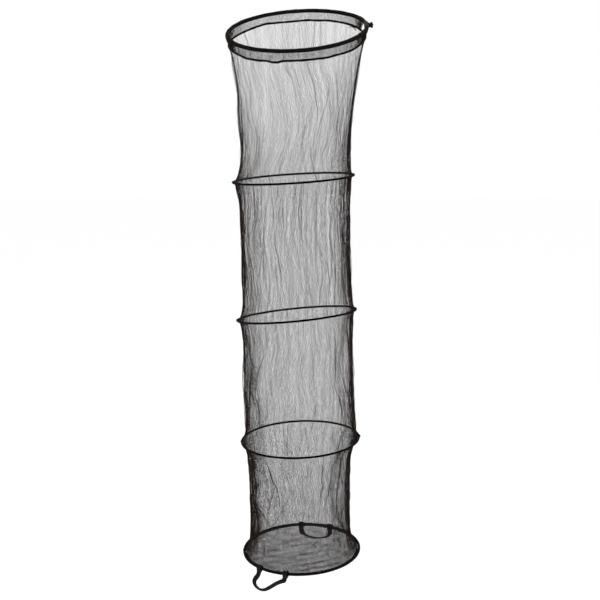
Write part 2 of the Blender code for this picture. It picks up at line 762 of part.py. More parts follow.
def tab_route(side, handle):
    """The loop round the ring at one tab, from the sewn end, over the ring and down its outer side."""
    radius = tab_radius()
    inner = (TAB_SEWN_GAP + WEBBING_THICKNESS) / 2
    where = side * handle.half
    pinch_out, pinch_down = (share * radius for share in TAB_PINCH_SHARES)
    route = [(where, -inner, TAB_LENGTH, 0.0), (where, -inner, TAB_LENGTH - OVERRUN, 0.0)]
    route.append((where, -pinch_out, pinch_down, 0.0))
    for i in range(TAB_WRAP_STEPS + 1):
        turn = math.radians(TAB_WRAP_START_DEGREES + TAB_WRAP_TURN_DEGREES * i / TAB_WRAP_STEPS)
        route.append((where, radius * math.cos(turn), -radius * math.sin(turn), 0.0))
    route.append((where, pinch_out, pinch_down, 0.0))
    route += [(where, inner, TAB_LENGTH - OVERRUN, 0.0), (where, inner, TAB_LENGTH, 0.0)]
    return route


def build_handle(name, handle, drop, strap_shares, material):
    """One length of webbing: a tab, the hanging strap, which twists, and the other tab."""
    inner = (TAB_SEWN_GAP + WEBBING_THICKNESS) / 2
    strap = [
        (along * handle.half, inner, max(down * drop, TAB_LENGTH + OVERRUN), turn)
        for along, down, turn in strap_shares
    ]
    route = tab_route(-1.0, handle)
    route += [tuple(row) for row in smooth_route(strap, STRAP_STEPS)]
    route += tab_route(1.0, handle)[::-1]
    points = [handle.place(along, out, down) for along, out, down, _ in route]
    loops = []
    for i, point in enumerate(points):
        before, after = points[max(i - 1, 0)], points[min(i + 1, len(points) - 1)]
        ahead = (after - before).normalized()
        twist = route[i][3] * math.pi / 2
        if twist == 0.0 and abs(ahead.dot(handle.along)) < 0.5:
            wide = handle.along
        else:
            flat = handle.out - handle.out.dot(ahead) * ahead
            flat.normalize()
            side = ahead.cross(flat)
            side = side if side.dot(handle.along) > 0.0 else -side
            wide = math.cos(twist) * side + math.sin(twist) * flat
        wide = (wide - wide.dot(ahead) * ahead).normalized()
        thick = ahead.cross(wide)
        w, t = WEBBING_WIDTH / 2, WEBBING_THICKNESS / 2
        loops.append([point + a * w * wide + b * t * thick for a, b in ((-1, -1), (1, -1), (1, 1), (-1, 1))])
    return loft(name, loops, False, material, handle.middle)


def cut_for_tabs(thing, handle, margin):
    """Clears the mesh round both tabs, where the webbing passes through it."""
    reach = tab_radius() + WEBBING_THICKNESS / 2 + margin
    wide = WEBBING_WIDTH / 2 + TAB_SLOT_MARGIN
    for side in (-1.0, 1.0):
        loops = []
        for end in (-wide, wide):
            where = side * handle.half + end
            loops.append([handle.place(where, x, y) for x, y in circle(reach, 2 * CORD_SIDES)])
        combine(thing, loft("tab_cut", loops, False, None, handle.middle), "DIFFERENCE")


def main():
    for thing in list(bpy.data.objects):
        bpy.data.objects.remove(thing)

    coated, moulded, blacked, netting, tape, webbing, wire = (finish_of(name) for name in FINISHES)

    head = Ring(Vector(), HEAD_LEAN_DEGREES, HEAD_RISE_DEGREES)
    head.centre = -(HEAD_RING_DIAMETER / 2 + stud_reach()) * head.out(0.0)
    centre_2 = head.centre + Vector((RING_2_SWAY, 0.0, -HEAD_TO_RING_2))
    centre_3 = centre_2 + Vector((RING_3_SWAY, 0.0, -RING_2_TO_RING_3))
    centre_4 = centre_3 + Vector((RING_4_SWAY, 0.0, -RING_3_TO_RING_4))
    centre_5 = centre_4 + Vector((BASE_SWAY, 0.0, -RING_4_TO_BASE))
    ring_2 = Ring(centre_2, RING_2_LEAN_DEGREES, RING_2_RISE_DEGREES)
    ring_3 = Ring(centre_3, RING_3_LEAN_DEGREES, RING_3_RISE_DEGREES)
    ring_4 = Ring(centre_4, RING_4_LEAN_DEGREES, RING_4_RISE_DEGREES)
    base = Ring(centre_5, BASE_LEAN_DEGREES, BASE_RISE_DEGREES)

    _, rod_angles = build_head_ring(head, coated)
    build_boss(head, rod_angles, moulded)
    pin_shape("ring_pin_rear", head, 1.0, 0.0, 0.0, blacked)
    pin_shape("ring_pin_front", head, -1.0, 0.0, 0.0, blacked)
    build_stud(head, blacked)
    build_lock_nut(head, moulded)
    build_hem(head, netting)
    build_hem_cord(head, tape)
    build_tie(head, tape)

    for name, ring in (("ring_2", ring_2), ("ring_3", ring_3), ("ring_4", ring_4)):
        hoop(name + "_hoop", ring, HOOP_DIAMETER, HOOP_WIRE_DIAMETER, wire)
        sleeve(name + "_sleeve", ring, HOOP_DIAMETER, HOOP_WIRE_DIAMETER, HOOP_SLEEVE_DIAMETER, tape)
    hoop("base_hoop", base, BASE_HOOP_DIAMETER, BASE_WIRE_DIAMETER, wire)
    sleeve("base_sleeve", base, BASE_HOOP_DIAMETER, BASE_WIRE_DIAMETER, BASE_SLEEVE_DIAMETER, tape)

    edge = CLEARANCE / 2
    front = Handle(base, FRONT_HANDLE_FROM_DEGREES, FRONT_HANDLE_TO_DEGREES)
    rear = Handle(base, REAR_HANDLE_FROM_DEGREES, REAR_HANDLE_TO_DEGREES)
    tops = [hem_edge(head)]
    bottoms = []
    for ring in (ring_2, ring_3, ring_4):
        bottoms.append(hoop_edge(ring, HOOP_DIAMETER, HOOP_SLEEVE_DIAMETER, edge))
        tops.append(hoop_edge(ring, HOOP_DIAMETER, HOOP_SLEEVE_DIAMETER, -edge))
    bottoms.append(hoop_edge(base, BASE_HOOP_DIAMETER, BASE_SLEEVE_DIAMETER, CLEARANCE))
    waists = (SECTION_1_WAIST, SECTION_2_WAIST, SECTION_3_WAIST, SECTION_4_WAIST)
    origins = (head.centre, ring_2.centre, ring_3.centre, ring_4.centre)
    for i, (top, bottom, waist, origin) in enumerate(zip(tops, bottoms, waists, origins)):

        def edges(degrees, top=top, bottom=bottom):
            return top(degrees), bottom(degrees)

        turn = i * FOLD_START_STEP
        section = build_section(f"net_section_{i + 1}", edges, waist, turn, netting, origin)
        build_seam(f"side_seam_{i + 1}", edges, waist, turn, tape, origin)
    floor = build_floor(base, netting)
    for handle in (front, rear):
        cut_for_tabs(section, handle, TAB_SLOT_MARGIN)
        cut_for_tabs(floor, handle, FLOOR_SLOT_MARGIN)
    build_handle("front_handle", front, FRONT_HANDLE_DROP, FRONT_STRAP_SHARES, webbing)
    build_handle("rear_handle", rear, REAR_HANDLE_DROP, REAR_STRAP_SHARES, webbing)


main()
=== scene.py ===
"""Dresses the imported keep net: netting, hems, taped hoops, webbing handles and the bank stick stud.

Every size is in metres in the CAD's frame: +Z up, -Y the front, and the stud's outer end face at the origin.
Angles round the rings are in degrees, 0 at +X and 90 at the rear.
"""
import functools  # noqa: E402
import logging  # noqa: E402
import math  # noqa: E402
from collections.abc import Callable, Sequence  # noqa: E402
from dataclasses import dataclass, field  # noqa: E402
from enum import Enum  # noqa: E402

import bpy  # noqa: E402
import numpy as np  # noqa: E402
from mathutils import Matrix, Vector  # noqa: E402


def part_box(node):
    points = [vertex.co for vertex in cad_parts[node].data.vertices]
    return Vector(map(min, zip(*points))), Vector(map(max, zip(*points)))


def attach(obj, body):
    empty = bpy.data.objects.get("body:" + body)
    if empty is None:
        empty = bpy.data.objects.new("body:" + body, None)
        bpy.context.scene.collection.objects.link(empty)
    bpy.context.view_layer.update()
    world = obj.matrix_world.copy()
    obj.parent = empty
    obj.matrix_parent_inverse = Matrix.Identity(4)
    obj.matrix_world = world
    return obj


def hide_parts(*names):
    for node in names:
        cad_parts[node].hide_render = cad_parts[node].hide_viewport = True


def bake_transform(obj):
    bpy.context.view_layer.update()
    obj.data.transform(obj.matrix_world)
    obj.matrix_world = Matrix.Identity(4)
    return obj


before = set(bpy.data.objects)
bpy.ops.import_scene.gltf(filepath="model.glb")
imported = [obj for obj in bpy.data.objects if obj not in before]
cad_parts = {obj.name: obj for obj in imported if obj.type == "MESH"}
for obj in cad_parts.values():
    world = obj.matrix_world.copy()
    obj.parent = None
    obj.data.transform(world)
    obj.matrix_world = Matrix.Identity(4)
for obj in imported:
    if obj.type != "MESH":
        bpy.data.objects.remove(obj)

LOG = logging.getLogger("keep_net")
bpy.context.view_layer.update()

# Sizes repeated from the part's source.
CLEARANCE = 0.0003
SEAM_DEGREES = 345.0
MESH_WALL = 0.001

# How far out from the cloth's middle the two crossing sets of strands lie, as shares of the twine's width.
LAYER_LIFTS = (0.25, -0.25)
# The mean seen width of a three-sided strand whose circumradius is 1.
STRAND_WIDTH = 1.654
# Knots are pulled off their places by chance, by up to so many standard deviations.
KNOT_LIMIT = 1.8
# The least share of its flat size that the area reckoned for a sheet of open netting is raised to.
LEAST_COVER = 0.3
# The least room between the skins of two pieces.
PLAY = 0.0002
# Thicknesses of the sewing threads.
FINE_THREAD = 0.0007
HEAVY_THREAD = 0.0008

Points = np.ndarray


def linear(colour: str) -> tuple[float, float, float, float]:
    """Turns an sRGB hex colour to linear.

    Args:
        colour: Six hex digits after a hash.

    Returns:
        Red, green, blue and alpha for a colour socket.
    """
    parts = [int(colour[i : i + 2], 16) / 255 for i in (1, 3, 5)]
    red, green, blue = (c / 12.92 if c <= 0.04045 else ((c + 0.055) / 1.055) ** 2.4 for c in parts)
    return red, green, blue, 1.0


def add_node(
    tree: bpy.types.NodeTree, kind: str, values: dict | None = None, links: dict | None = None, **settings
) -> bpy.types.Node:
    """Adds a shader node.

    Args:
        tree: The tree it goes into.
        kind: Blender's name of the node's type.
        values: Constant values by socket.
        links: Source sockets by the socket they feed.
        settings: The node's own settings.

    Returns:
        The node.
    """
    node = tree.nodes.new(kind)
    for name, value in settings.items():
        setattr(node, name, value)
    for socket, value in (values or {}).items():
        node.inputs[socket].default_value = value
    for socket, source in (links or {}).items():
        tree.links.new(source, node.inputs[socket])
    return node


class Relief(Enum):
    """The small relief that a finish has."""

    NONE = "none"
    GRAIN = "grain"
    WEAVE = "weave"
    RIBS = "ribs"


@dataclass(frozen=True)
class Finish:
    """A real material and how its surface was made.

    Attributes:
        name: Its plain name.
        colour: Its sRGB colour.
        faded: The sRGB colour of its paler patches.
        patch: The size of those patches in millimetres.
        roughness: The shader's roughness.
        relief: The small relief.
        pitch: The relief's spacing in millimetres.
        depth: The relief's depth in millimetres.
        metallic: 1 for bare metal.
        sheen: The fuzz of cloth.
        shine: How strongly it mirrors, with 0.5 for smooth plastic. Cloth's fibres shade each other, so it
            has less.
    """

    name: str
    colour: str
    faded: str
    patch: float
    roughness: float
    relief: Relief = Relief.NONE
    pitch: float = 1.0
    depth: float = 0.0
    metallic: float = 0.0
    sheen: float = 0.0
    shine: float = 0.5

    def height(self, tree: bpy.types.NodeTree, place: bpy.types.Node):
        """Builds the relief's height.

        Args:
            tree: The material's tree.
            place: The Texture Coordinate node.

        Returns:
            The socket that gives the height.
        """
        if self.relief is Relief.GRAIN:
            grain = add_node(
                tree,
                "ShaderNodeTexNoise",
                {"Scale": 1000 / self.pitch, "Detail": 3.0, "Roughness": 0.6},
                {"Vector": place.outputs["Object"]},
            )
            return grain.outputs["Fac"]
        # A wave of scale 1 repeats every tau / 20 of a unit, and the map is in metres.
        scale = math.tau / 20 * 1000 / self.pitch
        chart = {"Vector": place.outputs["UV"]}
        along = add_node(tree, "ShaderNodeTexWave", {"Scale": scale}, chart, bands_direction="Y")
        if self.relief is Relief.RIBS:
            return along.outputs["Fac"]
        # A weave's bundles lie further apart across than along.
        across = add_node(tree, "ShaderNodeTexWave", {"Scale": scale * 0.6}, chart, bands_direction="X")
        both = {0: along.outputs["Fac"], 1: across.outputs["Fac"]}
        return add_node(tree, "ShaderNodeMath", links=both, operation="MULTIPLY").outputs[0]

    @functools.cache
    def make(self) -> bpy.types.Material:
        """Builds the material, once.

        Returns:
            The material, with its patches, roughness and relief.
        """
        material = bpy.data.materials.new(self.name)
        material.use_nodes = True
        tree = material.node_tree
        shader = tree.nodes["Principled BSDF"]
        shader.inputs["Metallic"].default_value = self.metallic
        shader.inputs["Sheen Weight"].default_value = self.sheen
        shader.inputs["Specular IOR Level"].default_value = self.shine
        shader.inputs["Roughness"].default_value = self.roughness
        place = add_node(tree, "ShaderNodeTexCoord")
        patches = add_node(
            tree,
            "ShaderNodeTexNoise",
            {"Scale": 1000 / self.patch, "Detail": 4.0, "Roughness": 0.65},
            {"Vector": place.outputs["Object"]},
        )
        # The noise stays near 0.5, and its upper part makes the patches.
        share = add_node(
            tree,
            "ShaderNodeMapRange",
            {"From Min": 0.42, "From Max": 0.68},
            {"Value": patches.outputs["Fac"]},
        )
        colour = add_node(
            tree,
            "ShaderNodeMix",
            {6: linear(self.colour), 7: linear(self.faded)},
            {0: share.outputs["Result"]},
            data_type="RGBA",
        )
        tree.links.new(colour.outputs[2], shader.inputs["Base Color"])
        if self.relief is not Relief.NONE:
            bump = add_node(
                tree,
                "ShaderNodeBump",
                {"Strength": 1.0, "Distance": self.depth / 1000},
                {"Height": self.height(tree, place)},
            )
            tree.links.new(bump.outputs["Normal"], shader.inputs["Normal"])
        return material


# Knotless polyester twine, dyed black: matt, with a faint warm cast where light catches its filaments.
TWINE = Finish("knotless_polyester_twine", "#261c19", "#362924", 60.0, 0.8, sheen=0.02, shine=0.08)
# Woven polyester tape: fine ribs across, slightly furred by handling.
TAPE = Finish(
    "woven_polyester_tape", "#0a0a0a", "#141313", 14.0, 0.85, Relief.RIBS, 0.9, 0.12, sheen=0.01, shine=0.05
)
# Polypropylene webbing: a plain weave of flat bundles, with a low shine.
WEBBING = Finish(
    "polypropylene_webbing", "#0b0b0c", "#151515", 9.0, 0.65, Relief.WEAVE, 1.6, 0.25, sheen=0.01, shine=0.12
)
# Bonded sewing thread: smooth, a touch glossier than what it sews.
THREAD = Finish("bonded_polyester_thread", "#121112", "#1d1c1c", 5.0, 0.6, shine=0.12)
# Twisted polyester cord: soft, with dusty crowns.
CORD = Finish(
    "twisted_polyester_cord", "#0a0a0a", "#141313", 8.0, 0.8, Relief.GRAIN, 0.8, 0.08, sheen=0.01, shine=0.06
)
# PVC skin drawn over the head ring's rod: satin, with a long soft highlight.
COATED_ROD = Finish("pvc_coated_rod", "#0a0a0b", "#121213", 30.0, 0.4, Relief.GRAIN, 2.5, 0.02, shine=0.2)
# Glass-filled nylon from a spark-eroded mould: even fine grain.
NYLON = Finish("glass_filled_nylon", "#080808", "#0f0f10", 6.0, 0.65, Relief.GRAIN, 0.5, 0.01, shine=0.1)
# Blackened steel: dark metal with oil in the thread.
STEEL = Finish("blackened_steel", "#262628", "#3a393b", 3.0, 0.42, Relief.GRAIN, 0.6, 0.01, metallic=1.0)
# Bare drawn wire, only seen where the tape has worn through.
WIRE = Finish("drawn_steel_wire", "#8f9093", "#a9aaab", 12.0, 0.38, Relief.GRAIN, 0.7, 0.01, metallic=1.0)


def dress(piece: bpy.types.Object, finish: Finish) -> None:
    """Gives a piece one finish in all its slots."""
    piece.data.materials.clear()
    piece.data.materials.append(finish.make())


def stand_in(piece: bpy.types.Object, node: str) -> None:
    """Lets a piece stand for a CAD node, and reports it.

    Args:
        piece: The piece.
        node: The CAD node it replaces.
    """
    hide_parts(node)
    LOG.info("%s: %d faces for %s", piece.name, len(piece.data.polygons), node)


def hand_over(piece: bpy.types.Object, body: str, node: str) -> None:
    """Hands over a piece that rides on one body.

    Args:
        piece: The piece.
        body: The body.
        node: The CAD node it replaces.
    """
    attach(piece, body)
    stand_in(piece, node)


def unit(vectors: Points) -> Points:
    """Vectors of length 1 the same way."""
    return vectors / np.maximum(np.linalg.norm(vectors, axis=-1, keepdims=True), 1e-12)


def outward(degrees: Points | float) -> Points:
    """Level ways outward at these angles."""
    angle = np.radians(degrees)
    return np.stack([np.cos(angle), np.sin(angle), np.zeros_like(angle)], -1)


def past(degrees: Points, spot: float) -> Points:
    """How far these angles are past one, the shorter way round."""
    return (degrees - spot + 180.0) % 360.0 - 180.0


def smooth(share: Points | float) -> Points | float:
    """Eases a share of 0 to 1 in and out."""
    return share * share * (3.0 - 2.0 * share)


def spread_round(count: int) -> Points:
    """So many angles in degrees, evenly round a ring."""
    return np.arange(count) * 360.0 / count


def corners(sides: int, first: float = 0.0) -> Points:
    """The turns of a section's corners in radians, with the first one so many steps round."""
    return math.tau * (np.arange(sides) + first) / sides


def oval(across: Points | float, up: Points | float, turn: Points) -> Points:
    """Sections of these half sizes, one point for each turn."""
    return np.stack([across * np.cos(turn), up * np.sin(turn)], -1)


def zigzag(count: int) -> Points:
    """A column of 1 and -1 in turn."""
    return np.where(np.arange(count) % 2 == 0, 1.0, -1.0)[:, None]


@dataclass(frozen=True)
class RingPlane:
    """The plane of one ring, as in the part's source.

    Attributes:
        centre: The ring's centre.
        lean: Its lean in degrees, front down.
        rise: Its rise to the right in degrees.
    """

    centre: tuple[float, float, float]
    lean: float
    rise: float

    def turn(self) -> Points:
        """The matrix that turns a level ring to this one's slope."""
        lean, rise = math.radians(self.lean), -math.radians(self.rise)
        cos, sin = math.cos(lean), math.sin(lean)
        tip = np.array([[1, 0, 0], [0, cos, -sin], [0, sin, cos]])
        cos, sin = math.cos(rise), math.sin(rise)
        roll = np.array([[cos, 0, sin], [0, 1, 0], [-sin, 0, cos]])
        return roll @ tip

    def out(self, degrees: Points) -> Points:
        """The ring's own outward ways at these angles."""
        return outward(degrees) @ self.turn().T

    def place(self, degrees: Points, radius: Points | float, height: Points | float = 0.0) -> Points:
        """Points by angle, radius and height above the plane.

        Args:
            degrees: Angles round the ring.
            radius: Distances from its axis.
            height: Heights above its plane.

        Returns:
            One point for each angle.
        """
        up = self.turn()[:, 2]
        radius = np.asarray(radius, float)[..., None]
        height = np.asarray(height, float)[..., None]
        return np.array(self.centre) + radius * self.out(degrees) + height * up


@dataclass(frozen=True)
class HeadRing(RingPlane):
    """The head ring, whose mesh hem hangs from its rod down to a sewn cord.

    Attributes:
        radius: The rod's centre line.
        rod: The rod's diameter.
        drop: How far below the rod the hem is sewn.
        lean_in: How far the hem leans into the net.
        wave: The height of the sewn line's waves.
        waves: Waves round the ring, share of the height and start in degrees.
        cord: The cord's diameter.
        slips: Where the sewn line has slipped down: the angle, how far, and over what angle.
        ends: The angles where the hem starts and ends beside the boss.
    """

    radius: float = 0.222
    rod: float = 0.008
    drop: float = 0.028
    lean_in: float = 0.004
    wave: float = 0.0012
    waves: tuple[tuple[int, float, float], ...] = ((5, 1.0, 0.0), (8, 0.6, 40.0))
    cord: float = 0.0045
    slips: tuple[tuple[float, float, float], ...] = (
        (251.0, 0.0042, 4.5),
        (224.0, 0.0015, 3.0),
        (292.0, 0.0016, 5.0),
        (70.0, 0.0018, 6.0),
        (118.0, -0.0015, 5.0),
    )
    ends: tuple[float, float] = (15.5, 351.0)

    def square(self, degrees: Points) -> tuple[Points, Points, Points]:
        """The rod's centre line and the ways out and up that are square to it.

        Args:
            degrees: Angles round the ring.

        Returns:
            Points, outward ways and upward ways.
        """
        ahead = self.out(degrees + 90.0)
        level = np.zeros_like(ahead)
        level[..., 2] = 1.0
        up = unit(level - ahead[..., 2:3] * ahead)
        return self.place(degrees, self.radius), np.cross(ahead, up), up

    def sewn(self, degrees: Points, across: float, below: float) -> Points:
        """Points by the hem's lower edge.

        Args:
            degrees: Angles round the ring.
            across: How far out from below the rod's centre line.
            below: How far below the edge.

        Returns:
            One point for each angle.
        """
        place, out, up = self.square(degrees)
        waving = self.wave * sum(
            share * np.sin(np.radians(count * degrees + start)) for count, share, start in self.waves
        )
        for spot, slip, wide in self.slips:
            waving = waving + slip * np.exp(-((past(degrees, spot) / wide) ** 4))
        down = (self.drop + waving + below)[..., None]
        return place + (across - self.lean_in) * out - down * up


def placing(first: Points, second: Points, third: Points, origin: Points) -> Matrix:
    """The matrix that takes a piece's own ways and origin to these.

    Args:
        first: Where its X goes.
        second: Where its Y goes.
        third: Where its Z goes.
        origin: Where its origin goes.

    Returns:
        The matrix.
    """
    table = np.eye(4)
    table[:3, :4] = np.stack([first, second, third, origin], -1)
    return Matrix(table.tolist())


def new_object(name: str, vertices: Points, faces: Sequence, smooth: bool = True) -> bpy.types.Object:
    """Makes an object at the origin.

    Args:
        name: The piece's name.
        vertices: Its points.
        faces: Its faces, as rows of corners.
        smooth: Whether its faces shade smoothly.

    Returns:
        The object.
    """
    data = bpy.data.meshes.new(name)
    if isinstance(faces, np.ndarray):
        count, corners = faces.shape
        data.vertices.add(len(vertices))
        data.vertices.foreach_set("co", np.ascontiguousarray(vertices, np.float32).ravel())
        data.loops.add(count * corners)
        data.loops.foreach_set("vertex_index", np.ascontiguousarray(faces, np.int32).ravel())
        data.polygons.add(count)
        data.polygons.foreach_set("loop_start", np.arange(0, count * corners, corners, dtype=np.int32))
        data.update(calc_edges=True)
    else:
        data.from_pydata([tuple(v) for v in vertices], [], faces)
        data.update()
    data.polygons.foreach_set("use_smooth", np.full(len(data.polygons), smooth))
    piece = bpy.data.objects.new(name, data)
    bpy.context.scene.collection.objects.link(piece)
    return piece


def skin(name: str, rows: Points, joined: bool) -> bpy.types.Object:
    """Skins rings of points to each other and maps them in metres, round by U and along by V.

    Args:
        name: The piece's name.
        rows: Rings of points, one after another along the piece.
        joined: Whether the last ring meets the first. Otherwise both ends are closed.

    Returns:
        The object.
    """
    count, sides, _ = rows.shape
    last = count if joined else count - 1
    ring = np.arange(last)[:, None] * sides
    after = (np.arange(last)[:, None] + 1) % count * sides
    near, far = np.arange(sides)[None, :], (np.arange(sides)[None, :] + 1) % sides
    quads = np.stack([ring + near, ring + far, after + far, after + near], -1).reshape(-1, 4)
    faces = quads.tolist()
    if not joined:
        faces += [list(range(sides))[::-1], list(range((count - 1) * sides, count * sides))]
    piece = new_object(name, rows.reshape(-1, 3), faces)

    closing = np.concatenate([rows, rows[:, :1]], 1)
    round_length = np.zeros((count, sides + 1))
    round_length[:, 1:] = np.cumsum(np.linalg.norm(np.diff(closing, axis=1), axis=-1), 1)
    middle = rows.mean(1)
    steps = np.linalg.norm(np.diff(np.concatenate([middle, middle[:1]]), axis=0), axis=-1)
    along = np.concatenate([[0.0], np.cumsum(steps)])
    column = np.broadcast_to(near, (last, sides))
    row = np.broadcast_to(np.arange(last)[:, None], (last, sides))
    next_row = (row + 1) % count
    u = np.stack(
        [round_length[row, column], round_length[row, column + 1]]
        + [round_length[next_row, column + 1], round_length[next_row, column]],
        -1,
    )
    v = np.stack([along[row], along[row], along[row + 1], along[row + 1]], -1)
    chart = np.zeros((len(piece.data.loops), 2), np.float32)
    chart[: u.size, 0] = u.ravel()
    chart[: u.size, 1] = v.ravel()
    layer = piece.data.uv_layers.new(name="cloth")
    layer.uv.foreach_set("vector", chart.ravel())
    return piece


def polygon(width: float, height: float, sides: int, square: float = 1.0) -> Points:
    """A rounded section.

    Args:
        width: Its size across.
        height: Its size up.
        sides: Its number of points.
        square: 1 for an ellipse, and less for a rounded rectangle.

    Returns:
        Its points, across and up.
    """
    wave = oval(1.0, 1.0, corners(sides, 0.5))
    return np.sign(wave) * np.abs(wave) ** square * np.array([width, height]) / 2


def swept(centres: Points, across: Points, up: Points, section: Points) -> Points:
    """Rings of points round a path.

    Args:
        centres: The path.
        across: The section's first way at each point.
        up: Its second way.
        section: The section, one for all points or one for each.

    Returns:
        Rings of points.
    """
    section = np.broadcast_to(section, (len(centres), *section.shape[-2:]))
    first, second = section[..., 0:1], section[..., 1:2]
    return centres[:, None] + first * across[:, None] + second * up[:, None]


def carried(path: Points, start: Points, joined: bool = False) -> tuple[Points, Points]:
    """Frames along a path that don't spin.

    Args:
        path: The points.
        start: A way that the first frame leans to.
        joined: Whether the path closes on itself.

    Returns:
        The ways across and up at each point.
    """
    if joined:
        ahead = unit(np.roll(path, -1, 0) - np.roll(path, 1, 0))
    else:
        ahead = unit(np.gradient(path, axis=0))
    across = np.zeros_like(path)
    way = np.asarray(start, float)
    for i, tangent in enumerate(ahead):
        way = unit(way - way @ tangent * tangent)
        across[i] = way
    return across, np.cross(ahead, across)


def joined_pieces(name: str, parts: Sequence[bpy.types.Object]) -> bpy.types.Object:
    """Joins objects into one.

    Args:
        name: The new piece's name.
        parts: The objects.

    Returns:
        The piece.
    """
    bpy.ops.object.select_all(action="DESELECT")
    for part in parts:
        part.select_set(True)
    bpy.context.view_layer.objects.active = parts[0]
    bpy.ops.object.join()
    parts[0].name = name
    parts[0].data.name = name
    return parts[0]


def stitches(
    name: str, middles: Points, ways: Points, ups: Points, length: float, thick: float
) -> bpy.types.Object:
    """Rows of short stitches in sewing thread.

    Args:
        name: The piece's name.
        middles: Each stitch's middle.
        ways: The way each one runs.
        ups: The way each one bulges.
        length: Their length.
        thick: The thread's thickness.

    Returns:
        The piece, all stitches in one.
    """
    # Each stitch is fullest in the middle, where it stands clear of the cloth, and dips in at its two ends.
    stations = np.linspace(-1.0, 1.0, 5)
    size = np.sqrt(np.maximum(1.0 - stations**2, 0.0)) * 0.75 + 0.25
    bow = (1.0 - stations**2) * thick * 0.4
    section = polygon(thick, thick, 6)
    ways, ups = unit(ways), unit(ups)
    sides = np.cross(ways, ups)
    centres = (
        middles[:, None]
        + stations[None, :, None] * ways[:, None] * length / 2
        + bow[None, :, None] * ups[:, None]
    )
    rings = (
        centres[:, :, None]
        + (size[:, None] * section[:, 0])[None, :, :, None] * sides[:, None, None]
        + (size[:, None] * section[:, 1])[None, :, :, None] * ups[:, None, None]
    )
    rows, around = len(stations), len(section)
    faces = []
    near = np.arange(around)
    far = (near + 1) % around
    for row in range(rows - 1):
        low, high = row * around, (row + 1) * around
        faces.append(np.stack([low + near, high + near, high + far, low + far], -1))
    caps = np.array([[0, 1, 2, 3], [0, 3, 4, 5]])
    end = (rows - 1) * around
    body = np.concatenate([*faces, caps, end + caps[:, ::-1]])
    starts = (np.arange(len(middles)) * rows * around)[:, None, None]
    sewing = new_object(name, rings.reshape(-1, 3), (starts + body[None]).reshape(-1, 4))
    dress(sewing, THREAD)
    return sewing


@dataclass(frozen=True)
class Lay:
    """One set of parallel strands of a net: where each chain's nodes lie, and which steps of it are there.

    Attributes:
        chart: Each node's place on the cut cloth, as shares of its width and height.
        kept: Whether the step after each node is there.
    """

    chart: Points
    kept: Points


def lays(
    columns: int, rows: int, closed: bool, uneven: tuple[float, float] = (0.20, 0.16)
) -> tuple[Lay, Lay]:
    """The two crossing sets of strands of a diamond mesh, whose knots have been pulled off their even places.

    Args:
        columns: Cells across.
        rows: Cells up.
        closed: Whether the cloth is a tube.
        uneven: How far off the knots lie, as shares of a cell's width and height.

    Returns:
        The strands that run right and those that run left.
    """
    off = np.random.default_rng(rows).normal(size=(columns + 1, rows + 1, 2))
    off = np.clip(off, -KNOT_LIMIT, KNOT_LIMIT) * np.array(uneven) / np.array([columns, rows])
    off[:, [0, -1], 1] = 0.0
    spare = 0 if closed else rows + 1
    first = np.arange(-spare, columns + spare)[:, None]
    row = np.arange(rows + 1)[None, :]
    made = []
    for side in (1, -1):
        knot = first + side * row
        inside = np.ones_like(knot, bool) if closed else (knot >= 0) & (knot <= columns)
        knot = knot % columns if closed else np.clip(knot, 0, columns)
        even = np.stack([knot / columns, np.broadcast_to(row / rows, knot.shape)], -1)
        made.append(Lay(even + off[knot, row], inside[:, 1:] & inside[:, :-1]))
    return made[0], made[1]


def strands(
    places: Points, normals: Points, kept: Points, width: Points | float, lift: Points | float
) -> tuple[Points, Points]:
    """Three-sided closed strands along chains of nodes.

    Args:
        places: The nodes, chain by chain.
        normals: The cloth's outward way at each node.
        kept: Whether the step after each node is there.
        width: The twine's width, one for all nodes or one for each.
        lift: How far the strands lie out from the cloth's middle.

    Returns:
        Vertices and triangles.
    """
    radius = np.asarray(width)[..., None] / STRAND_WIDTH
    ahead = unit(np.gradient(places, axis=1))
    side = unit(np.cross(ahead, normals))
    out = np.cross(side, ahead)
    turns = np.radians([90.0, 210.0, 330.0])
    ring = np.cos(turns)[:, None] * side[..., None, :] + np.sin(turns)[:, None] * out[..., None, :]
    vertices = (places + lift * out)[..., None, :] + radius * ring
    chains, nodes = places.shape[:2]
    start = (np.arange(chains)[:, None] * nodes + np.arange(nodes - 1)[None, :]) * 3
    faces = []
    for i in range(3):
        j = (i + 1) % 3
        a, b, c, d = start + i, start + j, start + 3 + j, start + 3 + i
        faces += [np.stack([a, b, c], -1)[kept], np.stack([a, c, d], -1)[kept]]
    before = np.zeros_like(kept)
    before[:, 1:] = kept[:, :-1]
    after = np.zeros_like(kept)
    after[:, :-1] = kept[:, 1:]
    begin, end = kept & ~before, kept & ~after
    faces.append(np.stack([start + 2, start + 1, start], -1)[begin])
    faces.append(np.stack([start + 3, start + 4, start + 5], -1)[end])
    triangles = np.concatenate(faces)
    used = np.unique(triangles)
    renumber = np.zeros(vertices.size // 3, np.int64)
    renumber[used] = np.arange(len(used))
    return vertices.reshape(-1, 3)[used], renumber[triangles]


